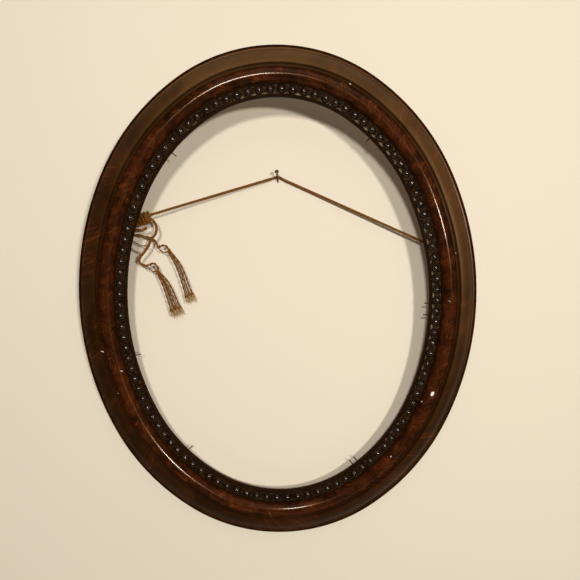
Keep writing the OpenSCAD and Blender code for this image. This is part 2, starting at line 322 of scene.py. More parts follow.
@dataclass(frozen=True)
class DarkVarnish:
    """Dark stained wood under an old satin varnish."""

    deep: Colour = rgb(0.0120, 0.0037, 0.0009)
    brown: Colour = rgb(0.0310, 0.0100, 0.0022)
    red: Colour = rgb(0.130, 0.0330, 0.0085)
    # Painted sheen: a lighter colour laid on the moulding's outer part towards the top right, where it
    # catches the light.
    painted_sheen: Colour = rgb(0.120, 0.057, 0.019)
    edge_red: Colour = rgb(0.026, 0.0052, 0.0015)
    # Colour of rubbed edges, partly a painted highlight at the lower left.
    worn_and_lit_edge: Colour = rgb(0.125, 0.056, 0.020)
    bare: Colour = rgb(0.66, 0.58, 0.47)
    gloss: float = 0.27
    painted_sheen_over: tuple[float, float] = (0.022, 0.036)
    rim: float = 0.0509
    lip: float = 0.0016
    quirk: float = 0.0341
    chips: tuple[Chip, ...] = (
        Chip(260.5, 0.0333, 0.0038, 0.0010, -42.0),
        Chip(251.5, 0.0304, 0.0036, 0.0009, -38.0),
        Chip(28.5, 0.0318, 0.0020, 0.0013, 10.0),
        Chip(80.3, 0.0318, 0.0017, 0.0007, -20.0),
    )

    def material(self, oval: "Oval") -> bpy.types.Material:
        """Builds the finish.

        Args:
            oval: The oval that its chips are placed on.

        Returns:
            The material.
        """
        graph = Graph("dark_varnish")
        point = graph.place()
        along, out, height = graph.attribute("sweep")
        edge, _, _ = graph.attribute("edge")
        stroke, patch = Streaks().masks(graph)
        cloud = graph.noise(point, scale=26.0, detail=4.0, warp=0.5)
        grain = graph.noise(graph.vector(along * 70.0, (out + height) * 1500.0))
        fine = graph.noise(point, scale=1400.0)
        colour = graph.mix(cloud.above(0.30, 0.72), self.deep, self.brown)
        colour = graph.mix(grain.above(0.50, 0.75) * 0.35, colour, self.brown)
        x, _, z = graph.parts(point)
        # Painted sheen: the outer part of the moulding is lightened towards the top right, standing in
        # for the light's sheen there.
        sheen_side = (x * 1.2 + z * 2.0).above(-0.35, 0.25) * (cloud * 0.5 + 0.12)
        colour = graph.mix(sheen_side * out.above(*self.painted_sheen_over), colour, self.painted_sheen)
        streaks = stroke.above(0.48, 0.72) * patch.above(0.47, 0.66)
        colour = graph.mix(streaks * 0.72, colour, self.red)
        rim = out.above(self.rim - 0.0004, self.rim + 0.0008)
        reddish = graph.noise(point, scale=60.0, detail=2.0).above(0.45, 0.6)
        tinge = graph.mix(reddish, self.deep, self.edge_red)
        colour = graph.mix(rim * 0.95, colour, tinge)
        # Painted shade: inward of the band's inner edge, over the quirk and the fillet, the colour is
        # darkened as the shade in that groove; the lip at the sight edge is darkened as well.
        shaded_quirk = out.below(self.quirk - 0.0004, self.quirk + 0.0018)
        lip = out.below(self.lip, self.lip + 0.0002)
        colour = graph.mix(shaded_quirk * 0.45 + lip * 0.40, colour, self.deep)
        # Rubbed edges take a lighter colour; the extra amount at the lower left is a painted highlight,
        # the light caught by those edges.
        dull_and_lit_side = dulled_side(graph)
        rubbed = edge * graph.noise(point, scale=120.0, warp=0.8).above(0.40, 0.66)
        colour = graph.mix(rubbed * (dull_and_lit_side * 0.35 + 0.20), colour, self.worn_and_lit_edge)
        chipped = chip_mask(graph, oval, self.chips)
        colour = graph.mix(chipped, colour, self.bare)
        slant = graph.vector(along * 900.0, (out - height) * 60.0)
        scratch = graph.noise(slant, detail=2.0, warp=1.5).above(0.70, 0.74)
        rough = fine * 0.08 + cloud * 0.26 + scratch * 0.12 + chipped * 0.4
        relief = grain * 0.30 + fine * 0.16 - scratch * 0.25 - chipped * 1.2
        waves = graph.noise(point, scale=95.0, detail=2.0)
        matt = (rim + (1 - shaded_quirk) * dull_and_lit_side * 0.60).above(0.0, 1.0)
        return graph.surface(
            {
                "Base Color": colour,
                "Roughness": rough + self.gloss,
                "Normal": graph.bump(relief + waves * 1.6, 0.00010),
                "Specular IOR Level": 0.30,
                "Specular Tint": rgb(1.0, 0.54, 0.20),
                "Coat Weight": 0.13,
                "Coat Roughness": 0.21,
                "Coat IOR": 1.4,
            },
            shaded_quirk * 0.88 + matt * 0.92,
        )


@dataclass(frozen=True)
class Burl:
    """Mottled red-brown burl under a high gloss."""

    deep: Colour = rgb(0.0120, 0.0036, 0.0010)
    red: Colour = rgb(0.038, 0.0080, 0.0020)
    orange: Colour = rgb(0.215, 0.054, 0.0100)
    pale: Colour = rgb(0.80, 0.76, 0.70)
    matt_inner: tuple[float, float] = (0.0136, 0.0146)
    matt_flank: tuple[float, float] = (0.0228, 0.0266)
    matt_crown: tuple[float, float] = (0.0195, 0.0225)
    chips: tuple[Chip, ...] = (
        Chip(110.3, 0.0202, 0.0062, 0.0036, 12.0),
        Chip(131.5, 0.0174, 0.0016, 0.0010, -30.0),
        Chip(112.9, 0.0140, 0.0022, 0.0011, -10.0),
        Chip(90.0, 0.0184, 0.0028, 0.0004, -46.0),
        Chip(255.8, 0.0156, 0.0030, 0.0006, -44.0),
    )

    def material(self, oval: "Oval") -> bpy.types.Material:
        """Builds the finish.

        Args:
            oval: The oval that its chips are placed on.

        Returns:
            The material.
        """
        graph = Graph("burl_gloss")
        point = graph.place()
        stroke, patch = Streaks(lean=124.0, length=0.012, width=0.0007, patch=0.010).masks(graph)
        swirl, eddy = Streaks(lean=172.0, length=0.016, width=0.0007, patch=0.014).masks(graph)
        cloud = graph.noise(point, scale=52.0, detail=5.0, warp=1.1)
        drift = graph.noise(point, scale=15.0, detail=2.0, warp=0.4)
        fine = graph.noise(point, scale=1600.0, detail=2.0)
        flecks = graph.noise(point, scale=330.0, warp=0.8)
        colour = graph.mix((cloud + drift * 0.5).above(0.58, 0.92), self.deep, self.red)
        glow = patch.above(0.42, 0.66) * (cloud * 0.7 + 0.25)
        colour = graph.mix(glow * (stroke.above(0.50, 0.68) * 0.9 + 0.05), colour, self.orange)
        flame = eddy.above(0.44, 0.62) * swirl.above(0.50, 0.68)
        colour = graph.mix(flame * 0.42, colour, self.orange)
        colour = graph.mix(flecks.above(0.58, 0.72) * 0.50, colour, self.deep)
        chipped = chip_mask(graph, oval, self.chips)
        colour = graph.mix(chipped, colour, self.pale)
        waves = graph.noise(point, scale=110.0, detail=2.0)
        _, out, _ = graph.attribute("sweep")
        inner, flank, crown = self.matt_inner, self.matt_flank, self.matt_crown
        outer = out.above(*flank) + dulled_side(graph) * out.above(*crown) * 0.5
        foot = out.below(*inner) + outer.above(0.0, 1.0)
        return graph.surface(
            {
                "Base Color": colour,
                "Roughness": fine * 0.06 + cloud * 0.06 + chipped * 0.5 + 0.16,
                "Normal": graph.bump(fine * 0.06 + waves * 1.3 - chipped * 1.5, 0.00010),
                "Specular IOR Level": 0.12,
                "Specular Tint": rgb(1.0, 0.58, 0.30),
                "Coat Weight": 0.29,
                "Coat Roughness": 0.085,
                "Coat IOR": 1.4,
            },
            foot * 0.95,
        )


@dataclass(frozen=True)
class Composition:
    """Pressed composition ornament, nearly black and glossy, with its high points rubbed."""

    black: Colour = rgb(0.0085, 0.0034, 0.0011)
    brown: Colour = rgb(0.0200, 0.0085, 0.0028)
    rubbed: Colour = rgb(0.168, 0.150, 0.092)
    dusty: Colour = rgb(0.135, 0.088, 0.046)

    def material(self) -> bpy.types.Material:
        """Builds the finish.

        Returns:
            The material.
        """
        graph = Graph("pressed_composition")
        point = graph.place()
        x, _, z = graph.parts(point)
        wear, rim, domed = graph.attribute("edge")
        cloud = graph.noise(point, scale=85.0, detail=4.0, warp=0.6)
        fine = graph.noise(point, scale=1900.0)
        colour = graph.mix(cloud.above(0.42, 0.72), self.black, self.brown)
        lit_upper_right = (x * 3.0 + z * 2.0).above(-0.55, 0.45)
        patches = graph.noise(point, scale=210.0, detail=2.0, warp=0.6)
        specks = graph.noise(point, scale=800.0, detail=2.0)
        # The pale rubbed colour on the high points is laid on more at the top right; that extra is a
        # painted highlight of the light falling on the leaf points there.
        rubbed = wear * (patches + specks * 0.40 + lit_upper_right * 0.24).above(0.83, 0.97)
        rimmed = rim * graph.noise(point, scale=240.0, detail=2.0).above(0.42, 0.66)
        colour = graph.mix(rimmed * 0.18, colour, self.dusty)
        flecks = graph.noise(point, scale=640.0, warp=0.6).above(0.50, 0.60) * (1 - domed)
        colour = graph.mix(flecks * 0.17, colour, self.dusty)
        colour = graph.mix(rubbed, colour, self.rubbed)
        return graph.surface(
            {
                "Base Color": colour,
                "Roughness": fine * 0.1 + 0.45,
                "Normal": graph.bump(fine * 0.25 + cloud * 0.5, 0.00005),
                "Specular IOR Level": 0.10,
                "Specular Tint": rgb(1.0, 0.75, 0.50),
                "Coat Weight": domed * 0.66,
                "Coat Roughness": 0.15,
                "Coat IOR": 1.60,
            },
            (1 - domed) * 0.8,
        )


@dataclass(frozen=True)
class RawWood:
    """Unfinished wood, browned by age."""

    name: str
    pale: Colour
    dark: Colour

    def material(self) -> bpy.types.Material:
        """Builds the finish.

        Returns:
            The material.
        """
        graph = Graph(self.name)
        point = graph.place()
        x, y, z = graph.parts(point)
        rings = graph.noise(graph.vector(x, y, z * 0.12), scale=420.0, detail=4.0, warp=0.3)
        cloud = graph.noise(point, scale=22.0, detail=4.0, warp=0.5)
        fibre = graph.noise(graph.vector(x, y, z * 0.05), scale=2600.0, detail=2.0)
        colour = graph.mix(rings.above(0.34, 0.68), self.dark, self.pale)
        colour = graph.mix(cloud.above(0.45, 0.75) * 0.55, colour, self.dark)
        return graph.surface(
            {
                "Base Color": colour,
                "Roughness": fibre * 0.15 + 0.72,
                "Normal": graph.bump(rings * 0.6 + fibre * 0.5, 0.00018),
            }
        )


@dataclass(frozen=True)
class Metal:
    """Small ironwork, plain or rusty."""

    name: str
    clean: Colour
    rust: Colour
    rusty: float
    metallic: float
    gloss: float

    def material(self) -> bpy.types.Material:
        """Builds the finish.

        Returns:
            The material.
        """
        graph = Graph(self.name)
        point = graph.place()
        patch = graph.noise(point, scale=420.0, detail=4.0, warp=0.5)
        fine = graph.noise(point, scale=2800.0)
        rust = (patch + fine * 0.25).above(0.78 - 0.4 * self.rusty, 0.92 - 0.4 * self.rusty)
        return graph.surface(
            {
                "Base Color": graph.mix(rust, self.clean, self.rust),
                "Metallic": (1 - rust) * self.metallic,
                "Roughness": rust * 0.45 + fine * 0.15 + self.gloss,
                "Normal": graph.bump(rust * fine + fine * 0.3, 0.00008),
            }
        )


@dataclass(frozen=True)
class Fibre:
    """Twisted golden-brown cord."""

    name: str = "cord_fibre"
    light: Colour = rgb(0.25, 0.095, 0.007)
    dark: Colour = rgb(0.065, 0.019, 0.0015)
    hairs: float = 3.0

    def material(self) -> bpy.types.Material:
        """Builds the finish.

        Returns:
            The material.
        """
        graph = Graph(self.name)
        point = graph.place()
        along, turn, _ = graph.attribute("lay")
        yarn = (turn * 3.0 + along * 2400.0).sine() * 0.5 + 0.5
        strands = graph.vector(along * 900.0, turn * self.hairs)
        hair = graph.noise(strands, warp=0.6)
        cloud = graph.noise(point, scale=130.0)
        shade = yarn * 0.45 + hair * 0.45 + cloud * 0.35
        return graph.surface(
            {
                "Base Color": graph.mix(shade.above(0.25, 0.95), self.dark, self.light),
                "Roughness": hair * 0.15 + 0.72,
                "Normal": graph.bump(yarn * 0.7 + hair * 0.6, 0.00016),
                "Specular IOR Level": 0.15,
                "Sheen Weight": 0.08,
                "Sheen Roughness": 0.5,
                "Sheen Tint": rgb(1.0, 0.72, 0.40),
            }
        )


@dataclass(frozen=True)
class Plaster:
    """A pale wall or floor that is clear from behind, so that it never hides the object."""

    name: str
    tone: Colour
    shade: Colour = rgb(0.62, 0.56, 0.46)

    def material(self) -> bpy.types.Material:
        """Builds the finish.

        Returns:
            The material.
        """
        graph = Graph(self.name)
        point = graph.place()
        soft = graph.noise(point, scale=9.0)
        tooth = graph.noise(point, scale=700.0, detail=2.0)
        inputs = {
            "Base Color": graph.mix(soft.above(0.3, 0.8) * 0.04, self.tone, self.shade),
            "Roughness": 0.85,
            "Normal": graph.bump(tooth, 0.00008, 0.4),
        }
        shader = graph.node("ShaderNodeBsdfPrincipled", {}, inputs)
        clear = graph.node("ShaderNodeBsdfTransparent")
        behind = graph.node("ShaderNodeNewGeometry", output="Backfacing")
        shadow = graph.node("ShaderNodeLightPath", output="Is Shadow Ray")
        open_to = (behind + shadow).above(0.0, 1.0)
        seen = graph.node("ShaderNodeMixShader", {}, {0: open_to, 1: shader, 2: clear})
        graph.tree.links.new(seen.link, graph.output.inputs[0])
        return graph.material


# ---------------------------------------------------------------- the oval


def run_of(deg: float) -> Vector:
    """Returns the direction that the moulding runs in at a compass angle."""
    turn = math.radians(deg)
    return Vector((math.cos(turn), 0.0, -math.sin(turn)))


@dataclass(frozen=True)
class Arc:
    """One arc of the sight oval between two compass angles, in degrees."""

    start: float
    end: float
    centre_x: float
    centre_z: float
    radius: float
    before: float

    def along(self, deg: float) -> float:
        """Returns the distance along the sight edge from the first arc's start."""
        return self.before + math.radians(deg - self.start) * self.radius


@dataclass
class Oval:
    """The sight oval: three tangent arcs to a quarter, solved from the glass."""

    glass_w: float = 0.356
    glass_h: float = 0.462
    lap: float = 0.0065
    end_deg: float = 34.2
    flank_deg: float = 64.6
    shoulder_ease: float = 1.0125
    back_y: float = -0.022
    middle_z: float = -0.142
    arcs: list[Arc] = field(default_factory=list)

    def __post_init__(self) -> None:
        """Solves the arcs."""
        half_w, half_h = self.glass_w / 2 - self.lap, self.glass_h / 2 - self.lap
        end, flank = math.radians(self.end_deg), math.radians(self.flank_deg)
        shoulder_r = self.shoulder_ease * math.sqrt(half_w * half_h)
        short_w = half_w - shoulder_r * (math.sin(flank) - math.sin(end))
        short_h = half_h - shoulder_r * (math.cos(end) - math.cos(flank))
        solve = math.sin(end) * math.cos(flank) - (1 - math.sin(flank)) * (1 - math.cos(end))
        end_r = (short_w * math.cos(flank) - (1 - math.sin(flank)) * short_h) / solve
        flank_r = (math.sin(end) * short_h - (1 - math.cos(end)) * short_w) / solve
        end_z, flank_x = half_h - end_r, half_w - flank_r
        shoulder_x = (end_r - shoulder_r) * math.sin(end)
        shoulder_z = end_z + (end_r - shoulder_r) * math.cos(end)
        low, high = self.end_deg, self.flank_deg
        plan = (
            (-low, low, 0.0, end_z, end_r),
            (low, high, shoulder_x, shoulder_z, shoulder_r),
            (high, 180 - high, flank_x, 0.0, flank_r),
            (180 - high, 180 - low, shoulder_x, -shoulder_z, shoulder_r),
            (180 - low, 180 + low, 0.0, -end_z, end_r),
            (180 + low, 180 + high, -shoulder_x, -shoulder_z, shoulder_r),
            (180 + high, 360 - high, -flank_x, 0.0, flank_r),
            (360 - high, 360 - low, -shoulder_x, shoulder_z, shoulder_r),
        )
        before = 0.0
        for start, stop, x, z, radius in plan:
            self.arcs.append(Arc(start, stop, x, z, radius, before))
            before += math.radians(stop - start) * radius

    def arc_at(self, deg: float) -> Arc:
        """Returns the arc that a compass angle falls on."""
        turn = (deg - self.arcs[0].start) % 360 + self.arcs[0].start
        return next(arc for arc in self.arcs if turn <= arc.end)

    def place(self, deg: float, out: float, height: float, arc: Arc | None = None) -> Vector:
        """Places a point on the moulding.

        Args:
            deg: Compass angle.
            out: Distance out from the sight edge.
            height: Height above the back.
            arc: The arc to use, where an angle is shared by two.

        Returns:
            The point in the frame's coordinates.
        """
        arc = arc or self.arc_at(deg)
        turn = math.radians(deg)
        reach = arc.radius + out
        return Vector(
            (
                arc.centre_x + reach * math.sin(turn),
                self.back_y - height,
                arc.centre_z + reach * math.cos(turn) + self.middle_z,
            )
        )

    def stand(self, deg: float, out: float, height: float, arc: Arc) -> Matrix:
        """Places an ornament: its X along the oval, Y outwards, Z to the front.

        Args:
            deg: Compass angle.
            out: Distance out from the sight edge.
            height: Height above the back.
            arc: The arc that it stands on.

        Returns:
            The placing.
        """
        turn = math.radians(deg)
        outward = Vector((math.sin(turn), 0.0, math.cos(turn)))
        front = Vector((0.0, -1.0, 0.0))
        axes = Matrix((run_of(deg), outward, front)).transposed().to_4x4()
        return Matrix.Translation(self.place(deg, out, height, arc)) @ axes


@dataclass(frozen=True)
class Corner:
    """A corner of a profile: its place, how far it is rounded, and how much its edge is rubbed."""

    out: float
    height: float
    rounding: float = 0.0
    rubbed: float = 0.0


@dataclass(frozen=True)
class Station:
    """One point of a rounded profile with the direction that its surface faces."""

    out: float
    height: float
    normal: tuple[float, float]
    rubbed: float


SIDE_SHARE = 0.86  # the most of a side that a rounding may take up
BROAD_ROUNDING = 0.0008  # the radius above which a rounding has more faces
BROAD_EXTRA = 3


def rounded(corners: Sequence[Corner], steps: int) -> list[Station]:
    """Rounds the corners of a closed profile that runs with its outside on its right.

    Args:
        corners: The profile's corners.
        steps: Faces to each rounded corner.

    Returns:
        The profile's points with their normals.
    """
    stations = []
    for i, corner in enumerate(corners):
        here = Vector((corner.out, corner.height))
        last = Vector((corners[i - 1].out, corners[i - 1].height)) - here
        ahead = corners[(i + 1) % len(corners)]
        onward = Vector((ahead.out, ahead.height)) - here
        arriving, leaving = (-last).normalized(), onward.normalized()
        first = Vector((arriving.y, -arriving.x))
        second = Vector((leaving.y, -leaving.x))
        turn = arriving.angle_signed(leaving)
        slope = abs(math.tan(turn / 2))
        room = min(last.length, onward.length) * SIDE_SHARE
        reach = min(corner.rounding * slope, room)
        if corner.rounding == 0.0:
            facing = (first + second).normalized()
            stations.append(Station(here.x, here.y, (facing.x, facing.y), corner.rubbed))
            continue
        bulge = reach / slope if turn < 0 else -reach / slope
        centre = here - arriving * reach - first * bulge
        count = steps + BROAD_EXTRA if corner.rounding > BROAD_ROUNDING else steps
        for k in range(count + 1):
            facing = first.lerp(second, k / count).normalized()
            spot = centre + facing * bulge
            stations.append(Station(spot.x, spot.y, (facing.x, facing.y), corner.rubbed))
    return stations


@dataclass(frozen=True)
class Pocket:
    """The slot in a length's end for half of a loose tongue: its sides, and its depth along the run."""

    low: float
    high: float
    bottom: float
    top: float
    depth: float


SLIVER = 1e-14  # the area below which an end's triangle is left out


@dataclass
class Sweep:
    """A profile swept along one arc of the oval, closed at both ends."""

    oval: Oval
    arc: Arc
    stations: list[Station]
    step: float = 0.0028
    pocket: Pocket | None = None

    def mesh(self, name: str, dressing: Callable[[int], int] | None = None) -> bpy.types.Mesh:
        """Builds the mesh with the profile's own normals.

        Args:
            name: The mesh's name.
            dressing: Gives the material slot of each face of the profile.

        Returns:
            The mesh, which carries its place along and across the moulding.
        """
        length = math.radians(self.arc.end - self.arc.start) * self.arc.radius
        spans = max(8, round(length / self.step))
        count = len(self.stations)
        points, sweep, rubbed, normals = [], [], [], []
        for i in range(spans + 1):
            deg = self.arc.start + (self.arc.end - self.arc.start) * i / spans
            turn = math.radians(deg)
            for station in self.stations:
                points.append(self.oval.place(deg, station.out, station.height, self.arc))
                sweep.append((self.arc.along(deg), station.out, station.height))
                rubbed.append((station.rubbed, 0.0, 0.0))
                flat, rise = station.normal
                normals.append(Vector((flat * math.sin(turn), -rise, flat * math.cos(turn))))
        faces = grid_faces(spans + 1, count, True)
        slots = [dressing(k) if dressing else 0 for k in range(count)] * spans
        sides = len(faces)
        self._cap(points, faces, 0, self.arc.start, False)
        self._cap(points, faces, spans * count, self.arc.end, True)
        slots += [1 if dressing else 0] * (len(faces) - sides)
        added = len(points) - len(sweep)
        sweep += [(self.arc.before, 0.0, 0.0)] * added
        rubbed += [(0.0, 0.0, 0.0)] * added
        normals += [Vector((0.0, -1.0, 0.0))] * added
        mesh = new_mesh(name, points, faces)
        carry(mesh, "sweep", sweep)
        carry(mesh, "edge", rubbed)
        mesh.polygons.foreach_set("material_index", slots)
        mesh.shade_smooth()
        loops = []
        for face in mesh.polygons:
            flat = face.index >= sides
            loops += [face.normal.copy() if flat else normals[v] for v in face.vertices]
        mesh.normals_split_custom_set(loops)
        return mesh

    def _cap(
        self, points: list[Vector], faces: list[Face], first: int, deg: float, flip: bool
    ) -> None:
        """Closes one end, with its pocket where there is one.

        Args:
            points: The mesh's points, which the pocket's are added to.
            faces: The mesh's faces, which the end's are added to.
            first: The number of the end's first point.
            deg: The end's compass angle.
            flip: Whether the end is the last one, whose faces turn the other way.
        """
        loops = [[Vector((s.out, s.height, 0.0)) for s in self.stations]]
        index = list(range(first, first + len(self.stations)))
        if self.pocket:
            slot = self.pocket
            low, high, bottom, top = slot.low, slot.high, slot.bottom, slot.top
            hole = [(low, bottom), (high, bottom), (high, top), (low, top)]
            loops.append([Vector((x, y, 0.0)) for x, y in hole])
            mouth = len(points)
            inward = run_of(deg) * (-slot.depth if flip else slot.depth)
            rim = [self.oval.place(deg, x, y, self.arc) for x, y in hole]
            points += rim + [spot + inward for spot in rim]
            index += range(mouth, mouth + 4)
            for k in range(4):
                a, b = mouth + k, mouth + (k + 1) % 4
                wall = (a, b, b + 4, a + 4)
                faces.append(wall if flip else wall[::-1])
            floor = tuple(range(mouth + 4, mouth + 8))
            faces.append(floor if flip else floor[::-1])
        flat = [spot for loop in loops for spot in loop]
        for triangle in geometry.tessellate_polygon(loops):
            corners = tuple(index[k] for k in triangle)
            a, b, c = (flat[k] for k in triangle)
            area = (b - a).cross(c - a).z
            if abs(area) >= SLIVER:
                faces.append(corners if (area > 0) == flip else corners[::-1])


# ---------------------------------------------------------------- meshes


def new_mesh(name: str, points: Sequence[Vector], faces: Sequence[Face]) -> bpy.types.Mesh:
    """Makes a mesh.

    Args:
        name: Its name.
        points: Its points.
        faces: Its faces.

    Returns:
        The mesh.
    """
    mesh = bpy.data.meshes.new(name)
    mesh.from_pydata(points, [], faces)
    mesh.update()
    return mesh


def new_object(name: str, data: bpy.types.ID) -> bpy.types.Object:
    """Links a new object to the scene.

    Args:
        name: Its name.
        data: Its mesh, lamp or camera.

    Returns:
        The object.
    """
    made = bpy.data.objects.new(name, data)
    bpy.context.scene.collection.objects.link(made)
    return made


def carry(mesh: bpy.types.Mesh, name: str, values: Sequence[Point]) -> None:
    """Stores a vector for each of a mesh's points."""
    layer = mesh.attributes.new(name, "FLOAT_VECTOR", "POINT")
    layer.data.foreach_set("vector", [part for value in values for part in value])


@dataclass
class Clay:
    """Points and faces that small forms are added to before they become one mesh."""

    points: list[Vector] = field(default_factory=list)
    faces: list[Face] = field(default_factory=list)
    marks: dict[str, list[Point]] = field(default_factory=dict)

    def add(
        self, points: Sequence[Vector], faces: Sequence[Face], **marks: Sequence[Point]
    ) -> None:
        """Adds a form.

        Args:
            points: Its points.
            faces: Its faces, counted from its own first point.
            marks: The vectors that its points carry, by name.
        """
        first = len(self.points)
        self.points += points
        self.faces += [tuple(first + k for k in face) for face in faces]
        for name, values in marks.items():
            self.marks.setdefault(name, []).extend(values)

    def mesh(self, name: str) -> bpy.types.Mesh:
        """Makes the mesh, shaded smooth.

        Args:
            name: Its name.

        Returns:
            The mesh.
        """
        mesh = new_mesh(name, self.points, self.faces)
        for mark, values in self.marks.items():
            carry(mesh, mark, values)
        mesh.shade_smooth()
        return mesh


def grid_faces(rows: int, columns: int, closed: bool) -> list[tuple[int, int, int, int]]:
    """Returns the faces of a grid of points.

    Args:
        rows: Rows of points.
        columns: Points in a row.
        closed: Whether each row joins up with itself.

    Returns:
        The faces.
    """
    faces = []
    for i in range(rows - 1):
        for k in range(columns if closed else columns - 1):
            a, b = i * columns + k, i * columns + (k + 1) % columns
            faces.append((a, b, b + columns, a + columns))
    return faces


def show(
    mesh: bpy.types.Mesh,
    body: Body,
    finishes: Sequence[bpy.types.Material],
    stands_for: Sequence[str] = (),
) -> bpy.types.Object:
    """Puts a mesh in the scene as a piece of the object.

    Args:
        mesh: The piece's mesh, whose name it takes.
        body: The body that it rides on.
        finishes: Its materials, in the order of its slots.
        stands_for: The solids that it replaces.

    Returns:
        The piece.
    """
    piece = new_object(mesh.name, mesh)
    for finish in finishes:
        mesh.materials.append(finish)
    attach(piece, body.value)
    if stands_for:
        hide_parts(*stands_for)
    LOG.info("%s: %d faces, on %s", piece.name, len(mesh.polygons), body.value)
    return piece


# ---------------------------------------------------------------- cords


def smooth_path(points: Sequence[Point], step: float) -> list[Vector]:
    """Runs a smooth curve through points, without the overshoot that uneven spacing gives.

    Args:
        points: The points that the curve passes through.
        step: The spacing of the result.

    Returns:
        Points along the curve.
    """
    knots = [Vector(p) for p in points]
    ends = [knots[0] * 2 - knots[1], *knots, knots[-1] * 2 - knots[-2]]
    path = [knots[0]]
    for a, b, c, d in zip(ends, ends[1:], ends[2:], ends[3:]):
        t1 = math.sqrt((b - a).length)
        t2 = t1 + math.sqrt((c - b).length)
        t3 = t2 + math.sqrt((d - c).length)
        count = max(1, round((c - b).length / step))
        for i in range(1, count + 1):
            t = t1 + (t2 - t1) * i / count
            part = (t - t1) / (t2 - t1)
            ab, bc, cd = a.lerp(b, t / t1), b.lerp(c, part), c.lerp(d, (t - t2) / (t3 - t2))
            abc, bcd = ab.lerp(bc, t / t2), bc.lerp(cd, (t - t1) / (t3 - t1))
            path.append(abc.lerp(bcd, part))
    return path


def path_length(path: Sequence[Vector]) -> float:
    """Returns the length of a run of points."""
    return sum((b - a).length for a, b in zip(path, path[1:]))


def carried_axes(path: Sequence[Vector]) -> list[tuple[Vector, Vector]]:
    """Carries two axes along a path, which turn as little as they can.

    Args:
        path: The path's points.

    Returns:
        The two axes across each point.
    """
    last = len(path) - 1
    heading = [(path[min(i + 1, last)] - path[max(i - 1, 0)]).normalized() for i in range(last + 1)]
    side = heading[0].orthogonal().normalized()
    axes = []
    for i, ahead in enumerate(heading):
        if i:
            side = heading[i - 1].rotation_difference(ahead) @ side
            side = (side - ahead * side.dot(ahead)).normalized()
        axes.append((side.copy(), ahead.cross(side)))
    return axes


TIP_SHARE = 0.55  # of a strand's radius, for the face that closes its end


def add_tube(
    clay: Clay, path: Sequence[Vector], radius: Callable[[float], float], sides: int, ply: float
) -> None:
    """Adds a round strand with closed, rounded ends.

    Args:
        clay: Where it is added.
        path: Its middle line.
        radius: Its radius at each part, from 0 at the start to 1 at the end.
        sides: Faces round it.
        ply: A number that sets its fibres apart from the other strands'.
    """
    axes = carried_axes(path)
    tip = radius(0.0) * TIP_SHARE
    ahead = [path[1] - path[0], path[-1] - path[-2]]
    spots = [path[0] - ahead[0].normalized() * tip, *path, path[-1] + ahead[1].normalized() * tip]
    across = [axes[0], *axes, axes[-1]]
    points, lay, gone = [], [], 0.0
    for i, (spot, (side, up)) in enumerate(zip(spots, across)):
        part = min(max((i - 1) / (len(path) - 1), 0.0), 1.0)
        width = radius(part) * (TIP_SHARE if i in (0, len(spots) - 1) else 1.0)
        gone += (spot - spots[i - 1]).length if i else 0.0
        for k in range(sides):
            turn = math.tau * k / sides
            points.append(spot + (side * math.cos(turn) + up * math.sin(turn)) * width)
            lay.append((gone, math.sin(turn) + ply, ply))
    faces = grid_faces(len(spots), sides, True)
    first_cap = tuple(reversed(range(sides)))
    last_cap = tuple(range((len(spots) - 1) * sides, len(spots) * sides))
    clay.add(points, [*faces, first_cap, last_cap], lay=lay)


@dataclass(frozen=True)
class Rope:
    """Cord laid up from strands that turn round each other."""

    diameter: float = 0.0033
    strands: int = 2
    pitch: float = 0.0085
    sides: int = 8
    step: float = 0.0007
    fullness: float = 1.04
    ply_shift: float = 1.7

    def lay_up(self, clay: Clay, route: Sequence[Point]) -> list[Vector]:
        """Lays the strands along a route.

        Args:
            clay: Where they are added.
            route: The points that the cord passes through.

        Returns:
            The cord's middle line.
        """
        path = smooth_path(route, self.step)
        axes = carried_axes(path)
        share = 1 / (1 + 1 / math.sin(math.pi / self.strands))
        strand_r = self.diameter / 2 * share * self.fullness
        orbit = self.diameter / 2 - strand_r
        for k in range(self.strands):
            turn, line = math.tau * k / self.strands, []
            for i, (spot, (side, up)) in enumerate(zip(path, axes)):
                if i:
                    turn += math.tau * (spot - path[i - 1]).length / self.pitch
                line.append(spot + (side * math.cos(turn) + up * math.sin(turn)) * orbit)
            add_tube(clay, line, lambda part: strand_r, self.sides, self.ply_shift * k)
        return path


@dataclass(frozen=True)
class Lashing:
    """Turns of cord wound in a flat coil round two runs that lie side by side."""

    start: Point
    run: Point
    turns: int
    cord: float = 0.0033
    gap: float = 0.0006
    run_gap: float = 0.0042
    ease_across: float = 0.0014
    ease_high: float = 0.0007
    rings: int = 24

    def route(self) -> list[Point]:
        """Winds the turns.

        Returns:
            The points that they follow.
        """
        axis = Vector(self.run).normalized()
        up = Vector((0.0, 1.0, 0.0)).cross(axis).normalized()
        side = axis.cross(up)
        depth = self.cord + self.ease_across
        height = self.cord + self.run_gap / 2 + self.ease_high
        points = []
        for i in range(self.turns * self.rings + 1):
            turn = math.tau * i / self.rings
            spot = Vector(self.start) + axis * (self.cord + self.gap) * i / self.rings
            points.append(tuple(spot + up * height * math.cos(turn) + side * depth * math.sin(turn)))
        return points


def metres(points: Route) -> list[Point]:
    """Turns points that are written in millimetres into metres."""
    return [(x * 0.001, y * 0.001, z * 0.001) for x, y, z in points]


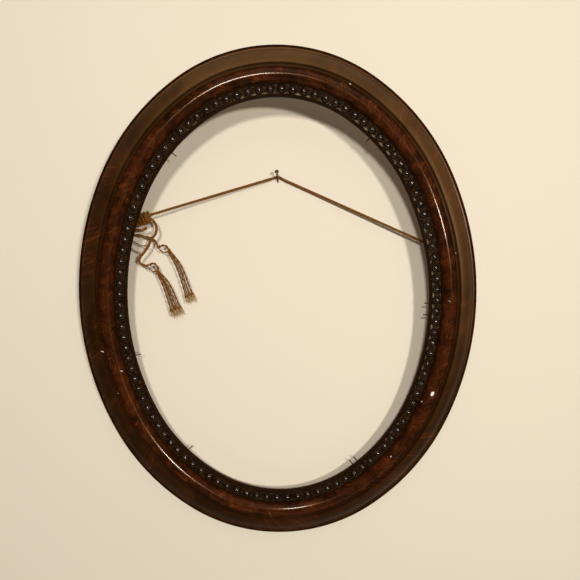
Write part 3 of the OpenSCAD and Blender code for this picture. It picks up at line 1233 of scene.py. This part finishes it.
@dataclass(frozen=True)
class Fray:
    """The small knot at the end of a yarn, and the tuft of fibres past it."""

    knot_r: float = 0.00105
    knot_wave: float = 0.0013
    knot_back: float = 0.0004
    knot_strand_r: float = 0.00085
    knot_rings: int = 36
    knot_sides: int = 6
    fibres: int = 34
    fibre_sides: int = 4
    step: float = 0.0007
    flatness: float = 0.4
    reach: tuple[float, float] = (0.0040, 0.0092)
    spread: float = 0.0020
    bend_at: float = 0.0034
    bend_spread: float = 0.0016
    root_r: float = 0.00021
    taper: float = 0.00010

    def knot(self, line: Sequence[Vector]) -> Clay:
        """Ties the knot at the end of a yarn.

        Args:
            line: The yarn's middle line.

        Returns:
            The knot's form.
        """
        spot, ahead = line[-1], self.heading(line)
        side = ahead.orthogonal().normalized()
        up = ahead.cross(side)
        loop = []
        for i in range(self.knot_rings + 1):
            turn = math.tau * i / self.knot_rings
            loop.append(
                spot
                + ahead * (self.knot_wave * math.sin(2 * turn) - self.knot_back)
                + side * self.knot_r * math.cos(turn)
                + up * self.knot_r * math.sin(turn)
            )
        clay = Clay()
        add_tube(clay, loop, lambda part: self.knot_strand_r, self.knot_sides, ply=0.4)
        return clay

    def tuft(self, line: Sequence[Vector], chance: random.Random) -> Clay:
        """Spreads the fibres past the end of a yarn.

        Args:
            line: The yarn's middle line.
            chance: The source of their spread.

        Returns:
            The tuft's form.
        """
        clay = Clay()
        spot, ahead = line[-1], self.heading(line)
        limits = (1.0, self.flatness, 1.0)
        for k in range(self.fibres):
            spread = Vector([chance.uniform(-limit, limit) for limit in limits])
            tip = spot + ahead * chance.uniform(*self.reach) + spread * self.spread
            bend = spot + ahead * self.bend_at + spread * self.bend_spread
            fibre = smooth_path([spot, bend, tip], self.step)
            add_tube(clay, fibre, self.fibre_radius, self.fibre_sides, ply=0.3 * k)
        return clay

    def fibre_radius(self, part: float) -> float:
        """Returns a fibre's radius, from 0 at its root to 1 at its tip."""
        return self.root_r - self.taper * part

    @staticmethod
    def heading(line: Sequence[Vector]) -> Vector:
        """Returns the direction that a middle line ends in."""
        return (line[-1] - line[-6]).normalized()


@dataclass
class Hanging:
    """The cord over the nail, its lashings, its two tails and their teased-out yarns.

    Its routes are in millimetres.
    """

    fibre: bpy.types.Material
    frayed: bpy.types.Material
    main: Rope = Rope(strands=3, pitch=0.0095)
    tail: Rope = Rope(pitch=0.020)
    wound: Rope = Rope(strands=3, pitch=0.0105)
    knot_thick: Rope = Rope(diameter=0.0025, pitch=0.011, step=0.0006)
    knot_thin: Rope = Rope(diameter=0.0016, pitch=0.011, step=0.0006)
    yarn: Rope = Rope(diameter=0.0022, pitch=0.015, sides=7)
    wisp: Rope = Rope(diameter=0.0015, pitch=0.006, sides=6, step=0.0006)
    fray: Fray = Fray()
    seed: int = 14
    lashings: tuple[tuple[str, Lashing], ...] = (
        ("left", Lashing((-0.1485, -0.0112, -0.0433), (-0.017, -0.0015, -0.0049), 4)),
        ("right", Lashing((0.186, -0.0136, -0.0868), (-0.012, 0.001, 0.0056), 3)),
    )
    hanging_route: Route = (
        (172.5, -12.8, -82), (178, -13.2, -84.6), (183, -13.7, -88), (188, -14, -93),
        (193.4, -14, -97.2), (197.2, -14, -96.2), (198.6, -14, -93.2), (197.4, -14, -90.4),
        (194, -14, -89), (188, -13.6, -85), (178, -12.8, -80), (166, -11.8, -74.5),
        (130, -8.8, -57.8), (90, -5.5, -39.3), (50, -2.1, -20.7), (20, 0.3, -6.9),
        (8, 1.3, -1.4), (3, 1.9, 1.3), (0, 2, 2.2), (-3, 1.9, 1.6), (-8, 1.3, 0),
        (-20, 0.3, -3.5), (-60, -3, -15.1), (-105, -6.7, -28.3), (-148, -10.3, -40.9),
        (-165, -11.8, -45.8), (-180, -13.2, -50.5), (-186, -14, -53), (-189.6, -14, -54.8),
        (-190.6, -14, -57.4), (-189.4, -14, -60), (-185.5, -14, -60.9), (-178, -13.8, -57),
        (-170, -13, -52.4), (-164, -12.3, -49.8), (-149, -11, -45.4), (-144.5, -12.5, -46.5),
        (-141, -14.5, -51), (-139.3, -16, -58), (-141.3, -16.5, -64), (-146, -16.5, -69),
        (-149, -16.5, -76), (-154, -16.5, -83), (-159.5, -16, -89.5), (-161, -15.5, -94.2),
        (-158, -15, -97.8), (-153, -15, -99.2),
    )
    tail_route: Route = (
        (-180, -13.9, -60.6), (-177, -13.4, -63.3), (-165.3, -11.5, -63.1),
        (-148.8, -11, -67.3), (-144.2, -11.5, -69.7), (-140.8, -12.3, -74.4), (-139.3, -13, -78),
    )
    stub_route: Route = (
        (-174, -14.9, -58), (-162, -15, -57.8), (-155, -15.3, -58), (-150.5, -15.5, -55.6),
    )
    first_strands: tuple[Route, ...] = (
        ((-141.7, -15.9, -105.9), (-134.5, -16.2, -123), (-126.4, -16, -151.9)),
        ((-141.7, -14.1, -105.9), (-132.5, -13.6, -122.5), (-123.2, -13.4, -150.7)),
        ((-140.5, -15.9, -104.4), (-130.8, -16.4, -121), (-119.8, -16.4, -149.2)),
        ((-140.5, -14.1, -104.4), (-128.6, -13.6, -119.5), (-116.4, -13.6, -148.4)),
    )
    second_strands: tuple[Route, ...] = (
        ((-127.7, -14, -82.7), (-118, -14.6, -103), (-108.6, -14.6, -135.8)),
        ((-126.9, -12, -82.6), (-115.8, -12, -101), (-105.4, -12, -134.4)),
        ((-126.3, -14, -81.2), (-114, -14.8, -98), (-101.4, -14.8, -132.7)),
    )
    first_knot: tuple[Route, ...] = (
        (
            (-153.8, -14.6, -99), (-151.4, -14.1, -98.6), (-148, -13.8, -97.1), (-144.3, -14, -96.5),
            (-141.6, -14.6, -99.2), (-140.2, -15.2, -102.1), (-139.4, -15.6, -105.5),
        ),
        (
            (-153.8, -15.3, -99.4), (-151.2, -15.2, -101), (-148.4, -15.4, -104.2),
            (-144.7, -15.4, -105.8), (-141, -14.6, -104.9), (-139.3, -13.6, -102.6), (-140.6, -13, -100),
        ),
        ((-149.4, -14.8, -98), (-146.1, -15.6, -100.2), (-143.1, -16, -102.6), (-140.9, -15.4, -105.4)),
    )
    second_knot: tuple[Route, ...] = (
        (
            (-139.7, -13, -77.6), (-138, -12.9, -78.2), (-136.1, -12.8, -76.8), (-132.4, -13, -75.8),
            (-129.4, -13.4, -77), (-126.9, -13.8, -80.5), (-126.6, -13.8, -82.4),
        ),
        (
            (-139.7, -13.4, -78), (-138, -13.8, -80.2), (-135.6, -14, -82.6), (-132, -14, -84),
            (-128.1, -13.4, -82.7), (-128.4, -12.2, -79.7), (-130.8, -12, -77.7),
        ),
    )
    wisp_routes: tuple[Route, ...] = (
        ((-173, -12.4, -66.2), (-167.1, -12, -71.1), (-157.8, -13, -75.9), (-151, -14.9, -75.8)),
        ((-175, -12.6, -66), (-169.8, -12, -79.2), (-160.7, -12.5, -84.5)),
    )

    def build(self) -> None:
        """Builds every stretch of cord."""
        chance = random.Random(self.seed)
        knot_a = self._knot("knot_a", self.first_knot)
        knot_b = self._knot("knot_b", self.second_knot)
        stub = self._piece("cord_end", self.tail, metres(self.stub_route), "cord_stub")[0]
        wisps = self._wisps()
        main = self._piece("cord_over_nail", self.main, metres(self.hanging_route), "hanging_cord")
        self._declare(*main, self.main.diameter, "knot", "taut", [knot_a, stub])
        tail = self._piece("second_tail", self.tail, metres(self.tail_route), "tail_b")
        self._declare(*tail, self.tail.diameter, "knot", "loose", [knot_b, wisps])
        for side, lashing in self.lashings:
            bound = self._piece(f"{side}_binding", self.wound, lashing.route(), f"lashing_{side}")
            self._declare(*bound, self.wound.diameter, "object", "coiled", [])
        self._teased("first_yarns", self.first_strands, "tail_strands_a", chance)
        self._teased("second_yarns", self.second_strands, "tail_strands_b", chance)

    def _show(
        self, clay: Clay, name: str, *nodes: str, frayed: bool = False
    ) -> bpy.types.Object:
        """Shows a piece of cord in place of the nodes, in its plain or its frayed finish."""
        finish = self.frayed if frayed else self.fibre
        return show(clay.mesh(name), Body.CORD, [finish], nodes)

    def _piece(
        self, name: str, rope: Rope, route: Sequence[Point], node: str
    ) -> tuple[bpy.types.Object, list[Vector]]:
        """Builds one stretch of cord.

        Args:
            name: Its name.
            rope: How it is laid up.
            route: The points that it passes through, in metres.
            node: The solid that it replaces.

        Returns:
            The piece and its middle line.
        """
        clay = Clay()
        line = rope.lay_up(clay, route)
        return self._show(clay, name, node), line

    def _declare(
        self,
        piece: bpy.types.Object,
        line: Sequence[Vector],
        diameter: float,
        far_end: str,
        lay: str,
        going_with: Sequence[bpy.types.Object],
    ) -> None:
        """Works out a stretch of cord's length, which is not kept.

        Args:
            piece: The stretch; not used.
            line: Its middle line.
            diameter: Its diameter; not used.
            far_end: What its last end is; not used.
            lay: How it lies; not used.
            going_with: The pieces that go with it; not used.
        """
        path_length(line)

    def _knot(self, name: str, routes: Sequence[Route]) -> bpy.types.Object:
        """Builds a loose knot with an open eye, the first of its strands the thickest.

        Args:
            name: The knot's name.
            routes: Its strands' routes.

        Returns:
            The knot.
        """
        clay = Clay()
        for k, route in enumerate(routes):
            (self.knot_thin if k else self.knot_thick).lay_up(clay, metres(route))
        return self._show(clay, name)

    def _teased(
        self, name: str, routes: Sequence[Route], node: str, chance: random.Random
    ) -> None:
        """Builds the yarns below a knot, each with its end knot and frayed tip.

        Args:
            name: The pieces' name, to which a number is added.
            routes: The yarns' routes.
            node: The solid that they replace.
            chance: The source of the fraying.
        """
        for k, route in enumerate(routes, 1):
            piece, line = self._piece(f"{name}_{k}", self.yarn, metres(route), node)
            end = f"{name}_end_{k}"
            knot = self._show(self.fray.knot(line), end)
            tuft = self._show(self.fray.tuft(line, chance), f"{end}_tuft", frayed=True)
            self._declare(piece, line, self.yarn.diameter, "knot", "hanging", [knot, tuft])

    def _wisps(self) -> bpy.types.Object:
        """Builds the two fine yarns beside the second tail.

        Returns:
            The piece that holds both.
        """
        clay = Clay()
        for route in self.wisp_routes:
            self.wisp.lay_up(clay, metres(route))
        return self._show(clay, "fine_yarns", "loose_yarns")


# ---------------------------------------------------------------- the frame's woodwork


@dataclass
class Woodwork:
    """The eight lengths of moulding with their applied ribs."""

    oval: Oval
    varnish: bpy.types.Material
    raw: bpy.types.Material
    burl: bpy.types.Material
    width: float = 0.0555
    rebate_w: float = 0.0075
    rebate_d: float = 0.007
    lip_w: float = 0.0014
    lip_h: float = 0.013
    nose_r: float = 0.00098
    seat_out: float = 0.0122
    seat_h: float = 0.0125
    rib_in: float = 0.01265
    rib_out: float = 0.02885
    rib_seat: float = 0.0155
    rib_h: float = 0.0065
    fillet_in: float = 0.0290
    fillet_out: float = 0.0303
    fillet_h: float = 0.0163
    quirk_h: float = 0.0133
    quirk_slope: float = 0.0014
    band_in: float = 0.0340
    band_out: float = 0.0497
    band_high: float = 0.015
    band_low: float = 0.0087
    shoulder_h: float = 0.0094
    edge_r: float = 0.0048
    tongue_l: float = 0.024
    tongue_w: float = 0.014
    tongue_low: float = 0.006
    tongue_high: float = 0.009
    tongue_play: float = 0.00015
    raw_margin: float = 0.0007
    raw_nose: float = 0.0004
    level: float = 0.00001

    def band(self, faces: int = 14) -> list[Corner]:
        """Works out the rounded band between its two edges, from the outer one in.

        Args:
            faces: The faces across it.

        Returns:
            Its points.
        """
        run, drop = self.band_out - self.band_in, self.band_high - self.band_low
        radius = (run**2 + drop**2) / (2 * drop)
        spread = math.asin(run / radius)
        corners = []
        for i in range(1, faces):
            turn = spread * (1 - i / faces)
            rise = self.band_high - radius + radius * math.cos(turn)
            corners.append(Corner(self.band_in + radius * math.sin(turn), rise))
        return corners

    def moulding_corners(self) -> list[Corner]:
        """Draws the moulding's profile, with every arris a little rounded.

        Returns:
            Its corners.
        """
        return [
            Corner(self.rebate_w, 0.0, 0.0003),
            Corner(self.width, 0.0, 0.0006),
            Corner(self.width, self.shoulder_h, self.edge_r),
            Corner(self.band_out, self.shoulder_h, 0.00035, 0.9),
            Corner(self.band_out, self.band_low, 0.0003),
            *self.band(),
            Corner(self.band_in, self.band_high, 0.0011, 0.1),
            Corner(self.band_in - self.quirk_slope, self.quirk_h, 0.0012),
            Corner(self.fillet_out, self.quirk_h, 0.0011),
            # The rubbed colour on this edge is partly a painted highlight, the light that it catches at
            # the lower left.
            Corner(self.fillet_out, self.fillet_h, 0.0006, 0.3),
            Corner(self.fillet_in, self.fillet_h, 0.0004, 0.1),
            Corner(self.fillet_in, self.rib_seat, 0.0001),
            Corner(self.seat_out, self.rib_seat, 0.0001),
            Corner(self.seat_out, self.seat_h, 0.0002),
            Corner(self.lip_w, self.seat_h, 0.0001),
            Corner(self.lip_w, self.lip_h, 0.0002),
            Corner(0.0, self.lip_h, self.nose_r),
            Corner(0.0, self.rebate_d, 0.0003),
            Corner(self.rebate_w, self.rebate_d, 0.0004),
        ]

    def rib_corners(self, faces: int = 26) -> list[Corner]:
        """Draws the rib's half-round profile.

        Args:
            faces: The faces across its curve.

        Returns:
            Its corners.
        """
        chord, middle = self.rib_out - self.rib_in, (self.rib_in + self.rib_out) / 2
        radius = (chord**2 / 4 + self.rib_h**2) / (2 * self.rib_h)
        spread = math.asin(chord / 2 / radius)
        centre = self.rib_seat + self.rib_h - radius
        feet = ((self.rib_in, 0.0001), (self.rib_out, 0.0002))
        corners = [Corner(out, self.rib_seat, rounding) for out, rounding in feet]
        for i in range(1, faces):
            turn = spread * (1 - 2 * i / faces)
            corners.append(Corner(middle + radius * math.sin(turn), centre + radius * math.cos(turn)))
        return corners

    def build(self) -> None:
        """Builds the eight lengths."""
        middle = (self.rib_in + self.rib_out) / 2
        half = self.tongue_w / 2 + self.tongue_play
        pocket = Pocket(
            low=middle - half,
            high=middle + half,
            bottom=self.tongue_low - self.tongue_play,
            top=self.tongue_high + self.tongue_play,
            depth=self.tongue_l / 2 + self.tongue_play,
        )
        stations = rounded(self.moulding_corners(), 4)
        unseen = [
            max(s.height, ahead.height) <= self.rebate_d + self.level
            and min(s.out, ahead.out) < self.width - self.raw_margin
            and s.out + ahead.out > self.raw_nose
            for s, ahead in zip(stations, stations[1:] + stations[:1])
        ]
        rib_stations = rounded(self.rib_corners(), 3)
        for name, arc in zip(LENGTHS, self.oval.arcs):
            sweep = Sweep(self.oval, arc, stations, pocket=pocket)
            mesh = sweep.mesh(f"moulded_{name}", lambda k: int(unseen[k]))
            show(mesh, Body.FRAME, [self.varnish, self.raw], [f"moulding_{name}"])
            rib = Sweep(self.oval, arc, rib_stations).mesh(f"burl_{name}")
            show(rib, Body.FRAME, [self.burl], [f"rib_{name}"])


@dataclass(frozen=True)
class Leaf:
    """A kind of leaf point: its width at the root, its length, and how much its ridge is rubbed."""

    width: float
    length: float
    wear: float


@dataclass
class Beading:
    """The pressed strip: beads in a row, with leaf points between them from both borders."""

    oval: Oval
    finish: bpy.types.Material
    inner: float = 0.00155
    outer: float = 0.01205
    seat: float = 0.0125
    pitch: float = 0.01245
    bead_r: float = 0.0039
    bead_rise: float = 0.0033
    bead_lift: float = 0.0016
    bead_foot: float = 0.0004
    bead_round: float = 104.0
    bead_sizes: tuple[float, float] = (0.95, 1.03)
    bead_lean: float = 0.06
    border_h: float = 0.0015
    border_w: float = 0.0006
    channel_h: float = 0.0008
    channel_in: float = 0.0010
    collar_gap: float = 0.00045
    collar_r: float = 0.00032
    collar_low: float = 0.0007
    collar_rise: float = 0.0011
    collar_from: float = 8.0
    collar_turn: float = 164.0
    inner_leaf: Leaf = Leaf(0.0088, 0.0027, 1.0)
    outer_leaf: Leaf = Leaf(0.0054, 0.0024, 0.20)
    leaf_h: float = 0.0022
    leaf_root: float = 0.0003
    leaf_foot: float = 0.0002
    leaf_tip: float = 0.00008
    leaf_curve: float = 2.6
    leaf_fall: float = 0.38
    crease_deep: float = 0.10
    crease_wide: float = 0.16
    step: float = 0.0031
    seed: int = 5

    def strip_corners(self) -> list[Corner]:
        """Draws the strip's profile: a shallow channel between two raised borders.

        Returns:
            Its corners.
        """
        low, high = self.inner, self.outer
        top, floor = self.seat + self.border_h, self.seat + self.channel_h
        return [
            Corner(low, self.seat, 0.0001),
            Corner(high, self.seat, 0.0001),
            Corner(high, top, 0.0003, 0.6),
            Corner(high - self.border_w, top, 0.0003, 0.6),
            Corner(high - self.channel_in, floor, 0.0003),
            Corner(low + self.channel_in, floor, 0.0003),
            Corner(low + self.border_w, top, 0.0003, 0.35),
            Corner(low, top, 0.0003, 0.35),
        ]

    def build(self) -> None:
        """Builds the eight lengths."""
        chance = random.Random(self.seed)
        stations = rounded(self.strip_corners(), 3)
        for name, arc in zip(LENGTHS, self.oval.arcs):
            clay = Clay()
            base = Sweep(self.oval, arc, stations, self.step).mesh("strip")
            points = [vertex.co.copy() for vertex in base.vertices]
            faces = [tuple(face.vertices) for face in base.polygons]
            rubbed = [(0.0, mark.vector.x, 0.0) for mark in base.attributes["edge"].data]
            clay.add(points, faces, edge=rubbed)
            bpy.data.meshes.remove(base)
            self._ornament(clay, arc, chance)
            strip = clay.mesh(f"beaded_{name}")
            show(strip, Body.FRAME, [self.finish], [f"beading_{name}"])

    def _ornament(self, clay: Clay, arc: Arc, chance: random.Random) -> None:
        """Adds one length's beads and leaf points.

        Args:
            clay: Where they are added.
            arc: The length's arc.
            chance: The source of their small differences.
        """
        line = (self.inner + self.outer) / 2
        sector = arc.end - arc.start
        count = round(math.radians(sector) * (arc.radius + line) / self.pitch)
        step = sector / count
        for i in range(count):
            deg = arc.start + (i + 0.5) * step
            stand = self.oval.stand(deg, line, self.seat, arc)
            size = chance.uniform(*self.bead_sizes)
            turn = chance.uniform(-self.bead_lean, self.bead_lean)
            lean = Matrix.Rotation(turn, 4, Vector((chance.random(), chance.random(), 0.1)))
            self._bead(clay, stand @ lean, size)
            self._collar(clay, stand)
            edge = self.oval.stand(arc.start + i * step, line, self.seat, arc)
            if i:
                self._leaf(clay, edge, self.inner - line, 1.0, self.inner_leaf, chance)
                self._leaf(clay, edge, self.outer - line, -1.0, self.outer_leaf, chance)

    def _bead(self, clay: Clay, stand: Matrix, size: float, rings: int = 9, sides: int = 24) -> None:
        """Adds a bead: a dome a little over half round.

        Args:
            clay: Where it is added.
            stand: Its placing.
            size: Its share of the full size.
            rings: The rings from its top to its foot.
            sides: The faces round it.
        """
        points = []
        for i in range(1, rings):
            slope = math.radians(self.bead_round) * i / (rings - 1)
            rise = self.bead_lift + self.bead_rise * size * math.cos(slope)
            out = self.bead_r * size * math.sin(slope)
            for k in range(sides):
                turn = math.tau * k / sides
                spot = (out * math.cos(turn), out * math.sin(turn), max(rise, self.bead_foot))
                points.append(stand @ Vector(spot))
        faces = [face[::-1] for face in grid_faces(rings - 1, sides, True)]
        top = len(points)
        points.append(stand @ Vector((0.0, 0.0, self.bead_lift + self.bead_rise * size)))
        faces += [(top, k, (k + 1) % sides) for k in range(sides)]
        faces.append(tuple(reversed(range(top - sides, top))))
        clay.add(points, faces, edge=[(0.0, 0.0, 1.0)] * len(points))

    def _collar(self, clay: Clay, stand: Matrix, steps: int = 14, sides: int = 5) -> None:
        """Adds the thin raised scallop that runs round a bead's outer side.

        Args:
            clay: Where it is added.
            stand: The bead's placing, without its lean.
            steps: The faces along it.
            sides: The points across it.
        """
        points, marks = [], []
        for i in range(steps + 1):
            turn = math.radians(self.collar_from + self.collar_turn * i / steps)
            for k in range(sides):
                lean = math.pi * k / (sides - 1)
                reach = self.bead_r + self.collar_gap + self.collar_r * math.cos(lean)
                rise = self.collar_low + self.collar_rise * math.sin(lean)
                spot = (reach * math.cos(turn), reach * math.sin(turn), rise)
                points.append(stand @ Vector(spot))
                marks.append((0.0, math.sin(lean), 0.0))
        faces = [face[::-1] for face in grid_faces(steps + 1, sides, True)]
        faces.append(tuple(range(sides)))
        faces.append(tuple(reversed(range(steps * sides, (steps + 1) * sides))))
        clay.add(points, faces, edge=marks)

    def _leaf(
        self,
        clay: Clay,
        stand: Matrix,
        root: float,
        inward: float,
        kind: Leaf,
        chance: random.Random,
    ) -> None:
        """Adds a leaf point.

        Args:
            clay: Where it is added.
            stand: The placing of the strip's middle line there.
            root: The distance of its root from that line.
            inward: 1 where it points outwards, and -1 where it points inwards.
            kind: Its size and wear.
            chance: The source of its small differences.
        """
        rows, columns = 7, 9
        length = kind.length * chance.uniform(0.92, 1.03)
        tall = self.leaf_h * chance.uniform(0.88, 1.04)
        rubbed = kind.wear * chance.uniform(0.55, 1.0)
        points, marks = [], []
        for i in range(rows):
            part = i / (rows - 1)
            half = kind.width / 2 * (1 - part**self.leaf_curve) + self.leaf_tip
            swell = 0.86 + 0.14 * math.sin(math.pi * min(part * 1.6, 1.0))
            ridge = tall * (1 - self.leaf_fall * part) * swell
            out = root + inward * (self.leaf_root + part * length)
            for k in range(columns):
                across = 2 * k / (columns - 1) - 1
                crease = self.crease_deep * math.exp(-((across / self.crease_wide) ** 2))
                round_part = math.sqrt(max(0.0, 1 - across**2)) * 0.55
                rise = ridge * (round_part + (1 - abs(across)) * 0.45 - crease)
                points.append(stand @ Vector((across * half, out, max(rise, self.leaf_root))))
                top = min(1.0, 3.2 * (1 - abs(across))) * (1 - 0.25 * part)
                marks.append((rubbed * top, 0.0, 0.0))
        faces = grid_faces(rows, columns, False)
        if inward < 0:
            faces = [face[::-1] for face in faces]
        rim = list(range(columns))
        rim += [i * columns + columns - 1 for i in range(1, rows)]
        rim += [(rows - 1) * columns + k for k in range(columns - 2, -1, -1)]
        rim += [i * columns for i in range(rows - 2, 0, -1)]
        first, count = len(points), len(rim)
        for k in rim:
            spot = stand.inverted() @ points[k]
            points.append(stand @ Vector((spot.x, spot.y, self.leaf_foot)))
            marks.append((0.0, 0.0, 0.0))
        walls = []
        for k in range(count):
            ahead = (k + 1) % count
            walls.append((rim[k], first + k, first + ahead, rim[ahead]))
        walls.append(tuple(reversed(range(first, first + count))))
        faces += walls if inward > 0 else [wall[::-1] for wall in walls]
        clay.add(points, faces, edge=marks)


# ---------------------------------------------------------------- stage, light and camera


@dataclass
class Viewpoint:
    """The photograph's viewpoint."""

    place: Point = (0.00507, -0.5303, -0.0762)
    right: Point = (0.99979, -0.01617, -0.01295)
    up: Point = (0.01454, 0.10312, 0.99456)
    lens: float = 27.5
    sensor: float = 36.0
    clip: tuple[float, float] = (0.01, 50.0)

    def build(self) -> None:
        """Creates the camera."""
        lens = bpy.data.cameras.new("viewpoint")
        lens.lens, lens.sensor_width = self.lens, self.sensor
        lens.clip_start, lens.clip_end = self.clip
        camera = new_object("viewpoint", lens)
        right, up = Vector(self.right).normalized(), Vector(self.up).normalized()
        back = right.cross(up).normalized()
        axes = Matrix((right, back.cross(right), back)).transposed().to_4x4()
        camera.matrix_world = Matrix.Translation(Vector(self.place)) @ axes
        bpy.context.scene.camera = camera


@dataclass(frozen=True)
class Lamp:
    """A soft lamp: where it stands, what it points at, its size and its power in watts."""

    name: str
    place: Point
    width: float
    height: float
    power: float
    aim: Point = (0.0, 0.0, -0.14)
    colour: tuple[float, float, float] = (1.0, 0.95, 0.88)

    def build(self) -> None:
        """Creates the lamp."""
        light = bpy.data.lights.new(self.name, "AREA")
        light.shape = "RECTANGLE"
        light.size, light.size_y, light.energy = self.width, self.height, self.power
        light.color = self.colour
        lamp = new_object(self.name, light)
        turn = (Vector(self.aim) - Vector(self.place)).to_track_quat("-Z", "Y")
        lamp.matrix_world = Matrix.Translation(Vector(self.place)) @ turn.to_matrix().to_4x4()


@dataclass
class Studio:
    """A pale wall for the frame to hang on, a pale floor, and soft lamps."""

    wall_lean: float = 3.5
    wall_y: float = 0.004
    wall_half: float = 1.3
    wall_low: float = -1.65
    wall_high: float = 0.75
    floor_front: float = -1.5
    world: float = 0.10
    world_colour: Colour = rgb(1.0, 0.90, 0.76)
    wall_tone: Colour = rgb(0.70, 0.64, 0.53)
    floor_tone: Colour = rgb(0.58, 0.53, 0.44)
    lamps: tuple[Lamp, ...] = (
        Lamp("lamp_right", (0.86, -1.93, 0.06), 0.20, 0.20, 25.0),
        Lamp("lamp_above", (-0.13, -1.60, 0.42), 0.20, 0.20, 15.0),
        Lamp("panel_above", (0.35, -1.10, 1.90), 2.80, 2.20, 13.0),
        Lamp("panel_behind", (0.30, 1.60, 0.40), 2.40, 2.00, 12.0),
    )

    def build(self) -> None:
        """Creates the stage and the lamps."""
        slope = math.tan(math.radians(self.wall_lean))
        bottom, top = self.wall_y + self.wall_low * slope, self.wall_y + self.wall_high * slope
        foot = (bottom, self.wall_low)
        for name, near, far, tone in (
            ("wall", foot, (top, self.wall_high), self.wall_tone),
            ("floor", (self.floor_front, self.wall_low), foot, self.floor_tone),
        ):
            half = self.wall_half
            corners = [(-half, *near), (half, *near), (half, *far), (-half, *far)]
            mesh = new_mesh(name, corners, [(0, 1, 2, 3)])
            mesh.materials.append(Plaster(f"pale_{name}", tone).material())
            new_object(name, mesh)
        world = bpy.data.worlds.new("soft_light")
        world.use_nodes = True
        background = world.node_tree.nodes["Background"]
        background.inputs["Color"].default_value = self.world_colour
        background.inputs["Strength"].default_value = self.world
        bpy.context.scene.world = world
        for lamp in self.lamps:
            lamp.build()


@dataclass
class Hardware:
    """The solids that keep their own shape and only take a finish."""

    nodes: dict[str, bpy.types.Object]

    def build(self) -> None:
        """Gives each of them its finish."""
        rusty = Metal("rusty_brad", rgb(0.05, 0.022, 0.012), rgb(0.070, 0.014, 0.005), 0.95, 0.3, 0.50)
        dull = Metal("dull_nail", rgb(0.16, 0.080, 0.028), rgb(0.105, 0.036, 0.010), 0.55, 0.6, 0.42)
        steel = Metal("aged_eye", rgb(0.42, 0.38, 0.32), rgb(0.16, 0.07, 0.035), 0.35, 0.95, 0.30)
        tongue = RawWood("plain_tongue", rgb(0.44, 0.29, 0.15), rgb(0.30, 0.18, 0.085))
        for finish, names in (
            (rusty, ("brads",)),
            (dull, ("wall_nail",)),
            (steel, ("screw_eye_left", "screw_eye_right")),
            (tongue, ("loose_tongues",)),
        ):
            material = finish.material()
            for name in names:
                for entry in self.nodes[name].material_slots:
                    entry.material = material
                LOG.info("%s: %s", name, material.name)


def main() -> None:
    """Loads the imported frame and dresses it."""
    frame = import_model()
    scene = bpy.context.scene
    scene.view_settings.view_transform = "Standard"
    Viewpoint().build()
    frayed = Fibre("frayed_fibre", rgb(0.56, 0.37, 0.150), rgb(0.26, 0.135, 0.042))
    Hanging(Fibre().material(), frayed.material()).build()
    oval = Oval()
    varnish = DarkVarnish().material(oval)
    raw = RawWood("aged_back", rgb(0.26, 0.155, 0.075), rgb(0.12, 0.064, 0.030)).material()
    burl = Burl().material(oval)
    Woodwork(oval, varnish, raw, burl).build()
    Beading(oval, Composition().material()).build()
    Hardware(frame["nodes"]).build()
    Studio().build()
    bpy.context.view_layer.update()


if __name__ == "__main__":
    logging.basicConfig(level=logging.INFO, format="%(message)s")
    main()
